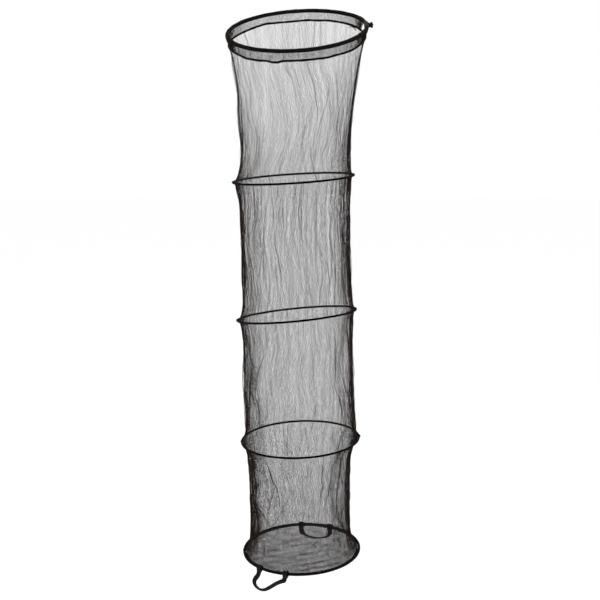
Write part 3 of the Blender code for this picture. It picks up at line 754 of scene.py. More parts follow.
def net_object(name: str, sets: Sequence[tuple[Points, Points]]) -> tuple[bpy.types.Object, float]:
    """Makes one netting piece of several sets of strands.

    Args:
        name: The piece's name.
        sets: Vertices and triangles of each set.

    Returns:
        The piece, and half its surface, which is the cut twine's flat area.
    """
    starts = np.cumsum([0] + [len(vertices) for vertices, _ in sets])
    vertices = np.concatenate([vertices for vertices, _ in sets])
    triangles = np.concatenate([faces + start for (_, faces), start in zip(sets, starts)])
    piece = new_object(name, vertices, triangles)
    # Each pair of triangles has a small square of its own on the OFBake map.
    count = len(triangles)
    across = math.ceil(math.sqrt((count + 1) // 2))
    pair, half = np.divmod(np.arange(count), 2)
    corner = np.stack([pair % across, pair // across], -1) / across
    margin = 0.08
    halves = np.array([[[0, 0], [1, 0], [1, 1]], [[0, 0], [1, 1], [0, 1]]])
    shape = halves * (1.0 - 2 * margin) / across + margin / across
    chart = corner[:, None, :] + shape[half]
    layer = piece.data.uv_layers.new(name="OFBake")
    layer.uv.foreach_set("vector", chart.astype(np.float32).ravel())
    a, b, c = (vertices[triangles[:, i]] for i in range(3))
    return piece, float(np.linalg.norm(np.cross(b - a, c - a), axis=-1).sum()) / 4


@dataclass(frozen=True)
class Pleat:
    """A narrow crease that takes in the netting's width.

    Attributes:
        middle: Where its middle lies across the cut cloth.
        slant: How far it runs across from its top to its bottom.
        bow: How far it bows on the way.
        top: The share of the height where it starts.
        bottom: The share where it ends.
        taken: The width that it takes in.
        half: Half its width on the cut cloth.
        side: 1 where it stands out, and -1 where it stands into the net.
    """

    middle: float
    slant: float
    bow: float
    top: float
    bottom: float
    taken: float
    half: float
    side: float

    def strength(self, down: Points) -> Points:
        """How much of the crease there is at these shares of the height."""
        soft = 0.35 * (self.bottom - self.top)
        near = np.clip((down - self.top) / soft, 0.0, 1.0)
        far = np.clip((self.bottom - down) / soft, 0.0, 1.0)
        return smooth(near * far)

    def line(self, down: Points) -> Points:
        """Where the crease's middle lies across the cut cloth at these shares of the height."""
        share = (down - self.top) / (self.bottom - self.top)
        bowed = self.bow * np.sin(math.pi * np.clip(share, 0.0, 1.0))
        return self.middle + self.slant * (share - 0.5) + bowed


def crease(width: float, start: tuple[float, float], end: tuple[float, float]) -> Pleat:
    """One chosen crease.

    Args:
        width: The cut cloth's width.
        start: The angle and the share of the section's height where it starts.
        end: The same where it ends.

    Returns:
        The crease.
    """
    first, last = ((degrees - SEAM_DEGREES) % 360.0 / 360.0 * width for degrees, _ in (start, end))
    return Pleat(
        middle=(first + last) / 2,
        slant=last - first,
        bow=0.002,
        top=start[1],
        bottom=end[1],
        taken=0.013,
        half=0.0036,
        side=1.0,
    )


@dataclass(frozen=True)
class Creasing:
    """How densely a length of the tube is creased.

    Attributes:
        number: How many creases there are.
        steady: 1 for upright creases, and less for slanting ones.
        crowd: The share of them that lies by the net's two sides.
        middling: How strong those elsewhere are, against those by the sides.
    """

    number: int
    steady: float
    crowd: float
    middling: float


def scattered_pleats(draw: np.random.Generator, width: float, creasing: Creasing) -> list[Pleat]:
    """Creases as a hanging net has them: mostly upright, of many lengths, and crowded at its two sides.

    Args:
        draw: The source of chance.
        width: The cut cloth's width.
        creasing: How many there are, and of what kind.

    Returns:
        The creases.
    """
    # The net's right and left, as shares of the way round from the seam.
    sides = (0.045, 0.54)
    made = []
    for _ in range(creasing.number):
        crowded = draw.uniform() < creasing.crowd
        middle = draw.choice(sides) + draw.normal(0.0, 0.032) if crowded else draw.uniform()
        length = draw.uniform(0.3, 0.9) if crowded else draw.uniform(0.2, 0.6)
        top = draw.uniform(-0.3, 1.1 - 0.7 * length)
        slant = draw.normal(0.0, 0.010 + 0.05 * (1.0 - creasing.steady)) * length / 0.3
        half = draw.uniform(0.0026, 0.0048)
        made.append(
            Pleat(
                middle=middle * width,
                slant=slant,
                bow=draw.normal(0.0, 0.005),
                top=top,
                bottom=top + length,
                taken=half * draw.uniform(1.3, 1.85) * (1.0 if crowded else creasing.middling),
                half=half,
                side=draw.choice([-1.0, 1.0]),
            )
        )
    return made


def ripples(
    draw: np.random.Generator, places: Points, shortest: float, longest: float, upright: float
) -> Points:
    """A smooth wandering value over points.

    Args:
        draw: The source of chance.
        places: The points.
        shortest: The shortest wave.
        longest: The longest wave.
        upright: How much the value changes upward: 1 for as much as across, and 0 for not at all.

    Returns:
        A value for each point, mostly within 1 of zero.
    """
    value = np.zeros(places.shape[:-1])
    number = 14
    for _ in range(number):
        way = unit(draw.normal(size=3) * np.array([1.0, 1.0, upright]))
        length = draw.uniform(shortest, longest)
        value += np.sin(places @ way * math.tau / length + draw.uniform(0.0, math.tau))
    return value / math.sqrt(number)


@dataclass(frozen=True)
class Cut:
    """How one length of the tube is cut and hangs, as read from the photo's outline and tones.

    Attributes:
        waist: How far it draws in.
        sway: How far it hangs to the right between its rings.
        twine: The twine's width at the top and bottom, where use has pulled its filaments apart.
        slump: How much closer its cells lie at the bottom.
        width: The cloth's width, which is more than the way round, so that it hangs full.
        rumple: The depth of its uneven dents.
        uneven: How far stretches of the mesh are set off their even place, across and down.
        creasing: Its scattered creases.
        rear_shade_thickening: How much thicker its twine is at the top of the rear than of the front, where use has furred it.
        slack: The length over which it draws in below its upper ring, longer where it hangs fuller.
    """

    waist: float
    sway: float
    twine: tuple[float, float]
    slump: float
    width: float
    rumple: float
    uneven: tuple[float, float]
    creasing: Creasing
    # rear_shade_thickening: How much thicker its twine is at the top of the rear than of the front, as
    # painted shade under the hem.
    rear_shade_thickening: float = 0.0
    slack: float = 0.035


# The four lengths, from the top.
CUTS = (
    Cut(
        waist=0.025,
        sway=0.0045,
        twine=(0.000375, 0.00053),
        slump=0.05,
        width=1.40,
        rumple=0.0004,
        uneven=(0.0012, 0.0010),
        creasing=Creasing(84, steady=1.0, crowd=0.56, middling=0.75),
        # Thicker twine at the top of the rear darkens the rear wall seen through the mouth: painted shade
        # under the hem.
        rear_shade_thickening=0.8,
        slack=0.1,
    ),
    Cut(
        waist=0.014,
        sway=0.001,
        twine=(0.00055, 0.00054),
        slump=0.08,
        width=1.46,
        rumple=0.0005,
        uneven=(0.0014, 0.0010),
        creasing=Creasing(90, steady=0.95, crowd=0.50, middling=0.95),
    ),
    Cut(
        waist=0.013,
        sway=0.002,
        twine=(0.00049, 0.00053),
        slump=0.12,
        width=1.54,
        rumple=0.0007,
        uneven=(0.0008, 0.0010),
        creasing=Creasing(76, steady=0.8, crowd=0.50, middling=0.5),
    ),
    Cut(
        waist=0.023,
        sway=-0.0035,
        twine=(0.00057, 0.00062),
        slump=0.25,
        width=1.60,
        rumple=0.0010,
        uneven=(0.0007, 0.0010),
        creasing=Creasing(50, steady=0.4, crowd=0.10, middling=0.5),
    ),
)

Edge = Callable[[Points], Points]
Gap = Callable[[Points], Points]


@dataclass
class NetSection:
    """One length of the mesh tube, from one ring to the next.

    Its cells are drawn at 3.8 x 6.8 mm, coarser than the 2 to 4 mm of real keep net mesh, so that the strands
    are few enough to draw. Their cover, which is what the eye sees from afar, is the photo's.

    Attributes:
        number: Its number from the top.
        bodies: The bodies of the rings above and below. Not used.
        top: Its top edge by angle.
        bottom: Its bottom edge by angle.
        start: Where its folds start, in radians.
        leaves: The height below which it has left the upper ring. Not used.
        joins: The height above which it has not met the lower ring. Not used.
        cut: How it is cut and hangs.
        pleats: Its creases.
        gaps: Tests for the places cut out for the webbing.
        cell_width: A mesh's width on the cut cloth.
        cell_height: A mesh's height.
        gather: The length over which it draws in above its lower ring.
        settle: How far from a ring its creases stand out in full.
        fold_depth: The depth of its loose folds.
        streaks: The depth of its upright streaks.
        ridge: A crease's height, as a share of the width that it takes in.
        seam_room: How far creases stay from the long seam.
        seam_band: The seam's width and thickness.
        seam_inset: How far its middle lies inside the wall's.
        overlock: Its stitches' spacing and length, and how far inside the wall's middle they lie.
    """

    number: int
    bodies: tuple[str, str]
    top: Edge
    bottom: Edge
    start: float
    leaves: float
    joins: float
    cut: Cut
    pleats: list[Pleat]
    gaps: list[Gap] = field(default_factory=list)
    cell_width: float = 0.0038
    cell_height: float = 0.0068
    gather: float = 0.035
    settle: float = 0.05
    fold_depth: float = 0.0032
    streaks: float = 0.0007
    ridge: float = 0.62
    seam_room: float = 0.018
    seam_band: tuple[float, float] = (0.0062, 0.0018)
    seam_inset: float = 0.0016
    overlock: tuple[float, float, float] = (0.0036, 0.0068, 0.0028)

    def fold(self, degrees: Points, share: Points) -> Points:
        """The loose folds, as a share of their depth.

        Args:
            degrees: Angles round the net.
            share: Shares of the section's height.

        Returns:
            A value for each point.
        """
        angle = np.radians(degrees)
        wander = 1.1 * np.sin(3 * math.pi * share + self.start)
        # The seam holds the cloth flat for 8 degrees to each side, and the folds set in over the next 8.
        loose = np.clip((np.abs(past(degrees, SEAM_DEGREES)) - 8.0) / 8.0, 0.0, 1.0)
        slow = 0.55 * np.sin(4 * angle + 2.0 * share - 2 * self.start)
        return loose * (np.sin(9 * angle + self.start + wander) + slow)

    def wall(self, degrees: Points, share: Points, out_by: Points | float) -> Points:
        """Points of the section's surface.

        Args:
            degrees: Angles round the net.
            share: Shares of the height, from the top.
            out_by: How far out from the wall's middle, where the rings leave room.

        Returns:
            One point for each angle.
        """
        high, low = self.top(degrees), self.bottom(degrees)
        height = np.linalg.norm(high - low, axis=-1)
        depth = share * height
        near, far = np.exp(-depth / self.cut.slack), np.exp(-(height - depth) / self.gather)
        drawn = np.clip(1.0 - near - far, 0.0, 1.0)
        free = smooth(np.clip(np.minimum(depth, height - depth) / self.settle, 0.0, 1.0))
        bulge = drawn * (self.fold_depth * self.fold(degrees, share) - self.cut.waist)
        bulge = bulge - MESH_WALL / 2 + free * out_by
        straight = high + share[..., None] * (low - high)
        right = np.array([self.cut.sway, 0.0, 0.0])
        return straight + bulge[..., None] * outward(degrees) + drawn[..., None] * right

    def hung(self, chart: Points) -> tuple[Points, Points]:
        """Hangs points of the cut cloth between its rings.

        Args:
            chart: Shares of the cut cloth's width and height.

        Returns:
            Places and outward ways.
        """
        width = self.cut.width
        across, down = chart[..., 0] * width, chart[..., 1]
        draw = np.random.default_rng(40 + self.number)
        # A length is close to half a metre high.
        cloth = np.stack([across, np.zeros_like(across), down / 2], -1)
        beside = np.clip(np.minimum(across, width - across) / self.seam_room, 0.0, 1.0)
        inside = beside * smooth(np.clip(12.0 * down * (1.0 - down), 0.0, 1.0))
        across = across + self.cut.uneven[0] * beside * ripples(draw, cloth, 0.012, 0.05, 0.03)
        down = down + 2 * self.cut.uneven[1] * inside * ripples(draw, cloth, 0.04, 0.12, 0.8)
        taken, total, lifted = (np.zeros_like(across) for _ in range(3))
        for pleat in self.pleats:
            strength = pleat.strength(down)
            line = np.clip(pleat.line(down), self.seam_room, width - self.seam_room)
            crossing = np.tanh((across - line) / pleat.half)
            taken += pleat.taken * strength * crossing / 2
            total += pleat.taken * strength
            lifted += pleat.side * self.ridge * pleat.taken * strength * (1.0 - crossing**2)
        turned = (across - taken - total / 2) / (width - total)
        degrees = SEAM_DEGREES + 360.0 * turned
        share = down * (1.0 + self.cut.slump * (1.0 - down))
        rough = self.wall(degrees, share, 0.0)
        lifted += self.streaks * ripples(draw, rough, 0.010, 0.05, 0.03)
        lifted += self.cut.rumple * ripples(draw, rough, 0.02, 0.09, 0.6)
        return self.wall(degrees, share, lifted), outward(degrees)

    def spanned(self, piece: bpy.types.Object, node: str) -> None:
        """Fixes in place a piece that reaches from the upper ring to the lower one, and lets it stand for a
        CAD node.

        Args:
            piece: The piece.
            node: The CAD node it replaces.
        """
        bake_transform(piece)
        stand_in(piece, node)

    def build_panels(self) -> None:
        """Makes the section's two panels of netting."""
        front = np.array(270.0)
        middle_height = float(np.linalg.norm(self.top(front) - self.bottom(front)))
        rows = round(middle_height / self.cell_height)
        columns = round(self.cut.width / self.cell_width)
        panels: dict[str, list[tuple[Points, Points]]] = {"rear": [], "front": []}
        for lay, lift in zip(lays(columns, rows, True), LAYER_LIFTS):
            places, out = self.hung(lay.chart)
            round_share, down = lay.chart[..., 0], lay.chart[..., 1]
            # 1 at the rear and 0 in front, where finer twine sets off the thicker twine at the rear, so that
            # the mean holds. The thicker twine at the top of the rear is painted shade under the hem.
            rear = 0.5 - 0.5 * np.cos(2 * math.pi * np.clip(2 * round_share - 0.05, 0.0, 1.0))
            twine = np.interp(down, (0.0, 1.0), self.cut.twine)
            twine = (twine * (1.0 + self.cut.rear_shade_thickening * (1.0 - down) * (1.6 * rear - 0.6)))[..., None]
            middle = (places[:, 1:] + places[:, :-1]) / 2
            kept = lay.kept.copy()
            for gap in self.gaps:
                kept &= ~gap(middle)
            # A step over the seam ends a whole turn from where it starts, and belongs to the front panel.
            start, end = round_share[:, :-1], round_share[:, 1:]
            across = np.where(np.abs(start - end) > 0.5, np.maximum(start, end), (start + end) / 2)
            for name, chosen in (("rear", across < 0.5), ("front", across >= 0.5)):
                panels[name].append(strands(places, out, kept & chosen, twine, lift * twine))
        for name, sets in panels.items():
            piece, area = net_object(f"net_section_{self.number}_{name}", sets)
            dress(piece, TWINE)
            self.spanned(piece, f"net_section_{self.number}")

    def build_seam(self) -> None:
        """Makes the long seam: a rolled band with an overlocked edge, on the wall's inner face."""
        share = np.linspace(0.004, 0.996, 90)
        out = outward(SEAM_DEGREES)
        along = np.array([-out[1], out[0], 0.0])
        centre = self.wall(np.full_like(share, SEAM_DEGREES), share, 0.0) - self.seam_inset * out
        ways = (np.broadcast_to(way, centre.shape) for way in (along, out))
        section = polygon(*self.seam_band, 12, 0.6)
        band = skin(f"side_seam_{self.number}", swept(centre, *ways, section), False)
        dress(band, TAPE)
        pitch, length, inset = self.overlock
        count = round(float(np.linalg.norm(centre[-1] - centre[0])) / pitch)
        share = np.linspace(0.02, 0.98, count)
        middles = self.wall(np.full(count, SEAM_DEGREES), share, 0.0) - inset * out
        slanting = along + zigzag(count) * np.array([0.0, 0.0, 0.75])
        inward = np.broadcast_to(-out, middles.shape)
        sewing = stitches("overlock", middles, slanting, inward, length, HEAVY_THREAD)
        seam = joined_pieces(f"side_seam_{self.number}_overlocked", [band, sewing])
        self.spanned(seam, f"side_seam_{self.number}")


@dataclass
class TapedHoop:
    """A wire hoop in its sewn tape.

    Attributes:
        name: The ring's name, which is also its body's.
        ring: Its plane.
        radius: Its centre line.
        tape: The tape's outside diameter.
        stitch: The spacing of its stitches.
        stitch_share: The share of its spacing that a stitch fills.
        sewn: How far above and below the inner side its two rows of stitches lie, in radians.
        overlaps: Where the tape's ends lie doubled: the angle and how much thicker it is there.
    """

    name: str
    ring: RingPlane
    radius: float
    tape: float
    stitch: float = 0.0048
    stitch_share: float = 0.68
    sewn: float = 0.62
    overlaps: Sequence[tuple[float, float]] = ()

    def build(self) -> None:
        """Makes the tape with its puckers and its two rows of stitches."""
        degrees = spread_round(288)
        centres = self.ring.place(degrees, self.radius)
        out = self.ring.out(degrees)
        normal = self.ring.turn()[:, 2]
        up = np.broadcast_to(normal, out.shape)
        sides = 14
        section = polygon(self.tape, self.tape, sides)
        turn = corners(sides, 0.5)
        angle = np.radians(degrees)[:, None]
        # The stitches pucker the inner side, and the whole tape wavers a little.
        pucker = 0.035 * np.sin(47 * angle + 2.0 * np.sin(3 * angle)) * np.clip(-np.cos(turn), 0.0, 1.0)
        pucker = pucker + 0.02 * np.sin(13 * angle + turn)
        for spot, more in self.overlaps:
            pucker = pucker + more * np.exp(-((past(degrees, spot) / 2.0) ** 4))[:, None]
        rings = swept(centres, out, up, section[None] * (1.0 + pucker)[..., None])
        tape = skin(f"{self.name}_tape", rings, True)
        dress(tape, TAPE)
        spots = spread_round(round(math.tau * self.radius / self.stitch))
        ahead = self.ring.out(spots + 90.0)
        half = self.tape / 2
        length = self.stitch * self.stitch_share
        parts = [tape]
        for side in (self.sewn, -self.sewn):
            cos, sin = math.cos(side), math.sin(side)
            middles = self.ring.place(spots, self.radius - half * cos, half * sin)
            ups = -cos * self.ring.out(spots) + sin * normal
            parts.append(stitches("sewing", middles, ahead, ups, length, FINE_THREAD))
        piece = joined_pieces(f"{self.name}_sewn_tape", parts)
        hand_over(piece, self.name, f"{self.name}_sleeve")


@dataclass
class HeadRim:
    """The head ring's rod in its casing, the mesh hem folded over it, and the cord it is sewn along.

    Attributes:
        ring: The head ring.
        rod_gap: The angle from the stud where the rod ends.
        casing: The outside diameter of the tape round the rod.
        casing_gap: The angle from the stud where the casing ends, by the boss.
        knot_degrees: Where the cord's ends are tied.
        twine: The hem's twine.
        fit: How far the mesh lies out from the casing.
        apart: Half the distance between the hem's two layers where they are sewn.
        cell: A mesh's width and height in the hem.
        fullness: The cloth's length for the way round the ring.
        bulge: How far the loose mesh waves in and out.
        gathers: Where the hem is bunched: the angle, how much closer its mesh lies and over what angle.
        whips: The number of the cord's whip stitches.
        whip_length: Their length.
        knot_place: Where the knot's middle lies, out from the hem's middle and below its edge.
        knot_size: The knot's sizes along the ring, up and out.
        knot_cord: The cord's thickness in the knot and in its tails.
    """

    ring: HeadRing
    rod_gap: float = 2.05
    casing: float = 0.0126
    casing_gap: float = 4.4
    knot_degrees: float = 27.0
    twine: float = 0.00055
    fit: float = 0.0006
    apart: float = 0.0012
    cell: tuple[float, float] = (0.0042, 0.0070)
    fullness: float = 1.22
    bulge: float = 0.0011
    gathers: tuple[tuple[float, float, float], ...] = (
        (17.0, 1.7, 6.0),
        (197.0, 2.4, 6.0),
        (343.0, 2.2, 12.0),
    )
    whips: int = 186
    whip_length: float = 0.0078
    knot_place: tuple[float, float] = (-0.0066, 0.0024)
    knot_size: tuple[float, float, float] = (0.0021, 0.0012, 0.0019)
    knot_cord: tuple[float, float] = (0.0032, 0.0029)

    def build_rod(self) -> None:
        """Makes the coated rod, from one side of the stud round to the other."""
        start = np.array([self.rod_gap])
        middle = self.ring.place(start, self.ring.radius)[0]
        ahead = self.ring.out(start + 90.0)[0]
        bpy.ops.object.select_all(action="DESELECT")
        bpy.ops.mesh.primitive_circle_add(vertices=16, radius=self.ring.rod / 2, fill_type="NGON")
        rod = bpy.context.object
        rod.name = rod.data.name = "head_ring_rod"
        across = self.ring.out(start)[0]
        rod.data.transform(placing(across, np.cross(ahead, across), ahead, middle))
        bpy.ops.object.mode_set(mode="EDIT")
        bpy.ops.mesh.select_all(action="SELECT")
        bpy.ops.mesh.spin(
            steps=200,
            angle=math.radians(360.0 - 2 * self.rod_gap),
            center=self.ring.centre,
            axis=tuple(self.ring.turn()[:, 2]),
        )
        bpy.ops.mesh.select_all(action="SELECT")
        bpy.ops.mesh.normals_make_consistent(inside=False)
        bpy.ops.object.mode_set(mode="OBJECT")
        rod.data.polygons.foreach_set("use_smooth", np.ones(len(rod.data.polygons), bool))
        dress(rod, COATED_ROD)
        hand_over(rod, "head", "head_ring")

    def build_casing(self) -> None:
        """Makes the tape sewn round the rod inside the hem."""
        degrees = np.linspace(self.casing_gap, 360.0 - self.casing_gap, 330)
        centres, out, up = self.ring.square(degrees)
        turn = corners(14)
        angle = np.radians(degrees)[:, None]
        pucker = 1.0 + 0.025 * np.sin(61 * angle + 2.0 * np.sin(3 * angle) + turn)
        pucker = pucker + 0.02 * np.sin(17 * angle - turn)
        outer = self.casing / 2 * pucker
        inner = np.broadcast_to(self.ring.rod / 2 + PLAY, outer.shape)
        # The skin runs along the outer face, and back along the inner one.
        there, back = (swept(centres, out, up, oval(radius, radius, turn)) for radius in (outer, inner))
        casing = skin("head_hem_casing", np.concatenate([there, back[::-1]]), True)
        dress(casing, TAPE)
        hand_over(casing, "head", "head_hem")

    def bunched(self, share: Points) -> Points:
        """The angles round the ring of shares of the hem's length, closer together where it is bunched."""
        degrees = np.linspace(*self.ring.ends, 2000)
        close = 1.0 + sum(
            more * np.exp(-(((degrees - spot) / wide) ** 2)) for spot, more, wide in self.gathers
        )
        used = np.concatenate([[0.0], np.cumsum((close[1:] + close[:-1]) / 2)])
        return np.interp(share, used / used[-1], degrees)

    def folded(self, chart: Points) -> tuple[Points, Points]:
        """Folds the hem's cloth over the rod.

        Args:
            chart: Shares of the cloth's length round the ring and of its way over the rod.

        Returns:
            Places and outward ways.
        """
        degrees = self.bunched(chart[..., 0])
        over = chart[..., 1]
        place, out, up = self.ring.square(degrees)
        radius = self.casing / 2 + self.fit
        reach = self.ring.drop + math.pi * radius / 2
        straight = self.ring.drop / (2 * reach)
        outer, inner = (self.ring.sewn(degrees, side * self.apart, 0.0) for side in (1.0, -1.0))
        turn = math.pi * np.clip((over - straight) / (1.0 - 2 * straight), 0.0, 1.0)[..., None]
        normal = np.cos(turn) * out + np.sin(turn) * up
        crown = place + radius * normal
        rise = np.clip(over / straight, 0.0, 1.0)[..., None]
        fall = np.clip((over - 1.0 + straight) / straight, 0.0, 1.0)[..., None]
        where = np.where(rise < 1.0, outer + rise * (crown - outer), crown + fall * (inner - crown))
        draw = np.random.default_rng(7)
        # The mesh is tight over the rod and at its sewn edges, and loose between them.
        slack = (1.0 - np.abs(np.sin(turn[..., 0]))) * np.minimum(rise, 1.0 - fall)[..., 0] * 4.0
        slack = np.clip(slack, 0.0, 1.0)
        bulge = self.bulge * ripples(draw, where, 0.012, 0.05, 0.45) * slack
        return where + bulge[..., None] * normal, normal

    def build_hem(self) -> None:
        """Makes the doubled mesh hem."""
        first, last = self.ring.ends
        length = math.radians(last - first) * self.ring.radius * self.fullness
        width = 2 * self.ring.drop + math.pi * (self.casing / 2 + self.fit)
        columns, rows = round(length / self.cell[0]), round(width / self.cell[1])
        sets = []
        for lay, lift in zip(lays(columns, rows, False), LAYER_LIFTS):
            places, normals = self.folded(lay.chart)
            sets.append(strands(places, normals, lay.kept, self.twine, lift * self.twine))
        hem, area = net_object("head_hem_mesh", sets)
        dress(hem, TWINE)
        hand_over(hem, "head", "head_hem")
        area = max(area, LEAST_COVER * width * length)

    def build_cord(self) -> None:
        """Makes the twisted cord that the hem is sewn along, with its whip stitches."""
        degrees = spread_round(720)
        _, out, up = self.ring.square(degrees)
        radius = self.ring.cord / 2
        centres = self.ring.sewn(degrees, 0.0, CLEARANCE + radius)
        turn = corners(15)
        angle = np.radians(degrees)[:, None]
        # Three strands show 110 crowns round the ring, and the stitches pull the cord lumpy and tall.
        size = radius * (1.08 + 0.12 * np.cos(3 * turn - 110 * angle))
        lump = 1.12 + 0.09 * np.sin(23 * angle + 2.0 * np.sin(5 * angle)) + 0.07 * np.sin(41 * angle + 1.0)
        cord = skin("hem_cord_twisted", swept(centres, out, up, oval(size, size * lump * 1.25, turn)), True)
        dress(cord, CORD)
        spots = spread_round(self.whips)
        _, spot_out, spot_up = self.ring.square(spots)
        parts = [cord]
        for side in (1.0, -1.0):
            middles = self.ring.sewn(spots, side * (1.2 * radius + PLAY), radius)
            ways = spot_up + 0.45 * side * self.ring.out(spots + 90.0)
            ups = side * spot_out
            parts.append(stitches("whipping", middles, ways, ups, self.whip_length, HEAVY_THREAD))
        hand_over(joined_pieces("hem_cord_sewn", parts), "head", "hem_cord")

    def build_knot(self) -> None:
        """Makes the knot where the cord's ends meet, with its two cut tails."""
        spot = np.array([self.knot_degrees])
        _, out, up = (way[0] for way in self.ring.square(spot))
        ahead = self.ring.out(spot + 90.0)[0]
        middle = self.ring.sewn(spot, *self.knot_place)[0]
        knot_cord, tail_cord = self.knot_cord
        # The path of an overhand knot.
        turn = np.linspace(0.0, math.tau, 96, endpoint=False)
        loop = np.stack(
            [np.sin(turn) + 2 * np.sin(2 * turn), np.cos(turn) - 2 * np.cos(2 * turn), -np.sin(3 * turn)], -1
        )
        path = middle + loop * np.array(self.knot_size) @ np.stack([ahead, up, out])
        across, rise = carried(path, out, True)
        parts = [skin("knot", swept(path, across, rise, polygon(knot_cord, knot_cord, 10)), True)]
        for side in (1.0, -1.0):
            # Each tail runs 16 mm along the ring, sags 7 mm, and swells just before its cut end.
            run = np.linspace(0.0, 1.0, 16)[:, None]
            bend = side * (0.004 + 0.016 * run) * ahead
            bend = bend - (0.0008 + 0.007 * run**1.6) * up - 0.0015 * run * out
            tail = middle + bend
            across, rise = carried(tail, out)
            size = (1.0 + 0.22 * np.exp(-((run - 0.93) ** 2) / 0.004)) * tail_cord
            section = polygon(1.0, 1.0, 10)[None] * size[..., None]
            parts.append(skin("tail", swept(tail, across, rise, section), False))
        for part in parts:
            dress(part, CORD)
        hand_over(joined_pieces("hem_tie_knot", parts), "head", "hem_tie")


@dataclass
class StudFitting:
    """The bank stick stud with its thread, and the fluted lock nut on it.

    Attributes:
        ring: The head ring.
        stud: The stud's diameter.
        thread_pitch: Its thread's pitch, 16 to the inch.
        thread_depth: The thread's depth.
        tip: The bevel at its tip.
        boss_width: The boss's width along the stud.
        reach: How far the boss's middle lies in from the stud's end.
        hex_across: The head's size across its flats.
        hex_thick: The head's thickness.
        hex_edge: The bevel of the head's edges.
        nut: The nut's diameter.
        nut_length: Its length.
        nut_proud: How far the stud stands proud of it.
        flutes: The number of its flutes.
        flute_depth: Their depth.
    """

    ring: HeadRing
    stud: float = 0.0095
    thread_pitch: float = 0.0015875
    thread_depth: float = 0.00085
    tip: float = 0.0006
    boss_width: float = 0.0155
    reach: float = 0.02075
    hex_across: float = 0.0125
    hex_thick: float = 0.0035
    hex_edge: float = 0.0004
    nut: float = 0.019
    nut_length: float = 0.007
    nut_proud: float = 0.0012
    flutes: int = 12
    flute_depth: float = 0.0011

    def ways(self) -> tuple[Points, Points, Points]:
        """The stud's way out, and two ways square to it."""
        axis = self.ring.out(np.array([0.0]))[0]
        side = np.array([0.0, 1.0, 0.0])
        return axis, side, np.cross(axis, side)

    def build_stud(self) -> None:
        """Makes the stud: a threaded shank, a bevelled tip and a hex head."""
        axis, side, third = self.ways()
        length = self.boss_width / 2 + self.reach - self.hex_thick / 2
        steps = round(length / self.thread_pitch * 16)
        along = np.linspace(0.0, length, steps + 1)
        turn = corners(40)
        # One ridge to a pitch, flat on its crest and in its root, that runs out over the stud's last 1.2 mm.
        phase = (along[:, None] / self.thread_pitch - turn / math.tau) % 1.0
        thread = np.clip(1.35 * np.abs(phase * 2.0 - 1.0) - 0.2, 0.0, 1.0)
        from_tip = (length - along)[:, None]
        lead = np.clip(from_tip / 0.0012, 0.0, 1.0)
        radius = self.stud / 2 - self.thread_depth * (1.0 - thread * lead)
        radius = np.minimum(radius, self.stud / 2 - self.tip + from_tip)
        centres = (along - length)[:, None] * axis
        ways = (np.broadcast_to(way, centres.shape) for way in (side, third))
        shank = skin("shank", swept(centres, *ways, oval(radius, radius, turn)), False)
        dress(shank, STEEL)

        head_middle = (-self.reach - self.boss_width / 2 + self.hex_thick / 2) * axis
        bpy.ops.object.select_all(action="DESELECT")
        bpy.ops.mesh.primitive_cylinder_add(
            vertices=6, radius=self.hex_across / 2 / math.cos(math.pi / 6), depth=self.hex_thick
        )
        head = bpy.context.object
        bpy.ops.object.mode_set(mode="EDIT")
        bpy.ops.mesh.select_all(action="SELECT")
        bpy.ops.mesh.bevel(offset=self.hex_edge, segments=2, affect="EDGES")
        bpy.ops.object.mode_set(mode="OBJECT")
        head.data.transform(placing(side, -third, axis, head_middle))
        dress(head, STEEL)
        stud = joined_pieces("bank_stick_stud_threaded", [shank, head])
        hand_over(stud, "head", "bank_stick_stud")

    def build_nut(self) -> None:
        """Makes the fluted lock nut with rounded rims."""
        axis, side, third = self.ways()
        turn = corners(144)
        grip = 0.5 + 0.5 * np.cos(self.flutes * turn)
        rim = self.nut / 2 - self.flute_depth * (1.0 - grip) ** 1.6
        face, edge = (np.full_like(turn, self.nut / 2 - down) for down in (0.0026, 0.0018))
        bore = np.full_like(turn, self.stud / 2 + PLAY)
        eased = rim - 0.0003
        length = self.nut_length
        # Places along the nut and half sizes there: up its inner face, along its fluted rim, and down its
        # outer face, which dips to a chamfered bore.
        profile = (
            (0.0, bore),
            (0.0, face),
            (0.0003, edge),
            (0.0010, eased),
            (0.0017, rim),
            (length - 0.0017, rim),
            (length - 0.0010, eased),
            (length - 0.0003, edge),
            (length, face),
            (length - 0.0006, bore + 0.0012),
            (length - 0.0008, bore),
        )
        start = -self.nut_proud - length
        round_ways = np.cos(turn)[:, None] * side + np.sin(turn)[:, None] * third
        rows = [(start + along) * axis + size[:, None] * round_ways for along, size in profile]
        nut = skin("lock_nut_fluted", np.array(rows)[::-1], True)
        dress(nut, NYLON)
        hand_over(nut, "lock_nut", "lock_nut")


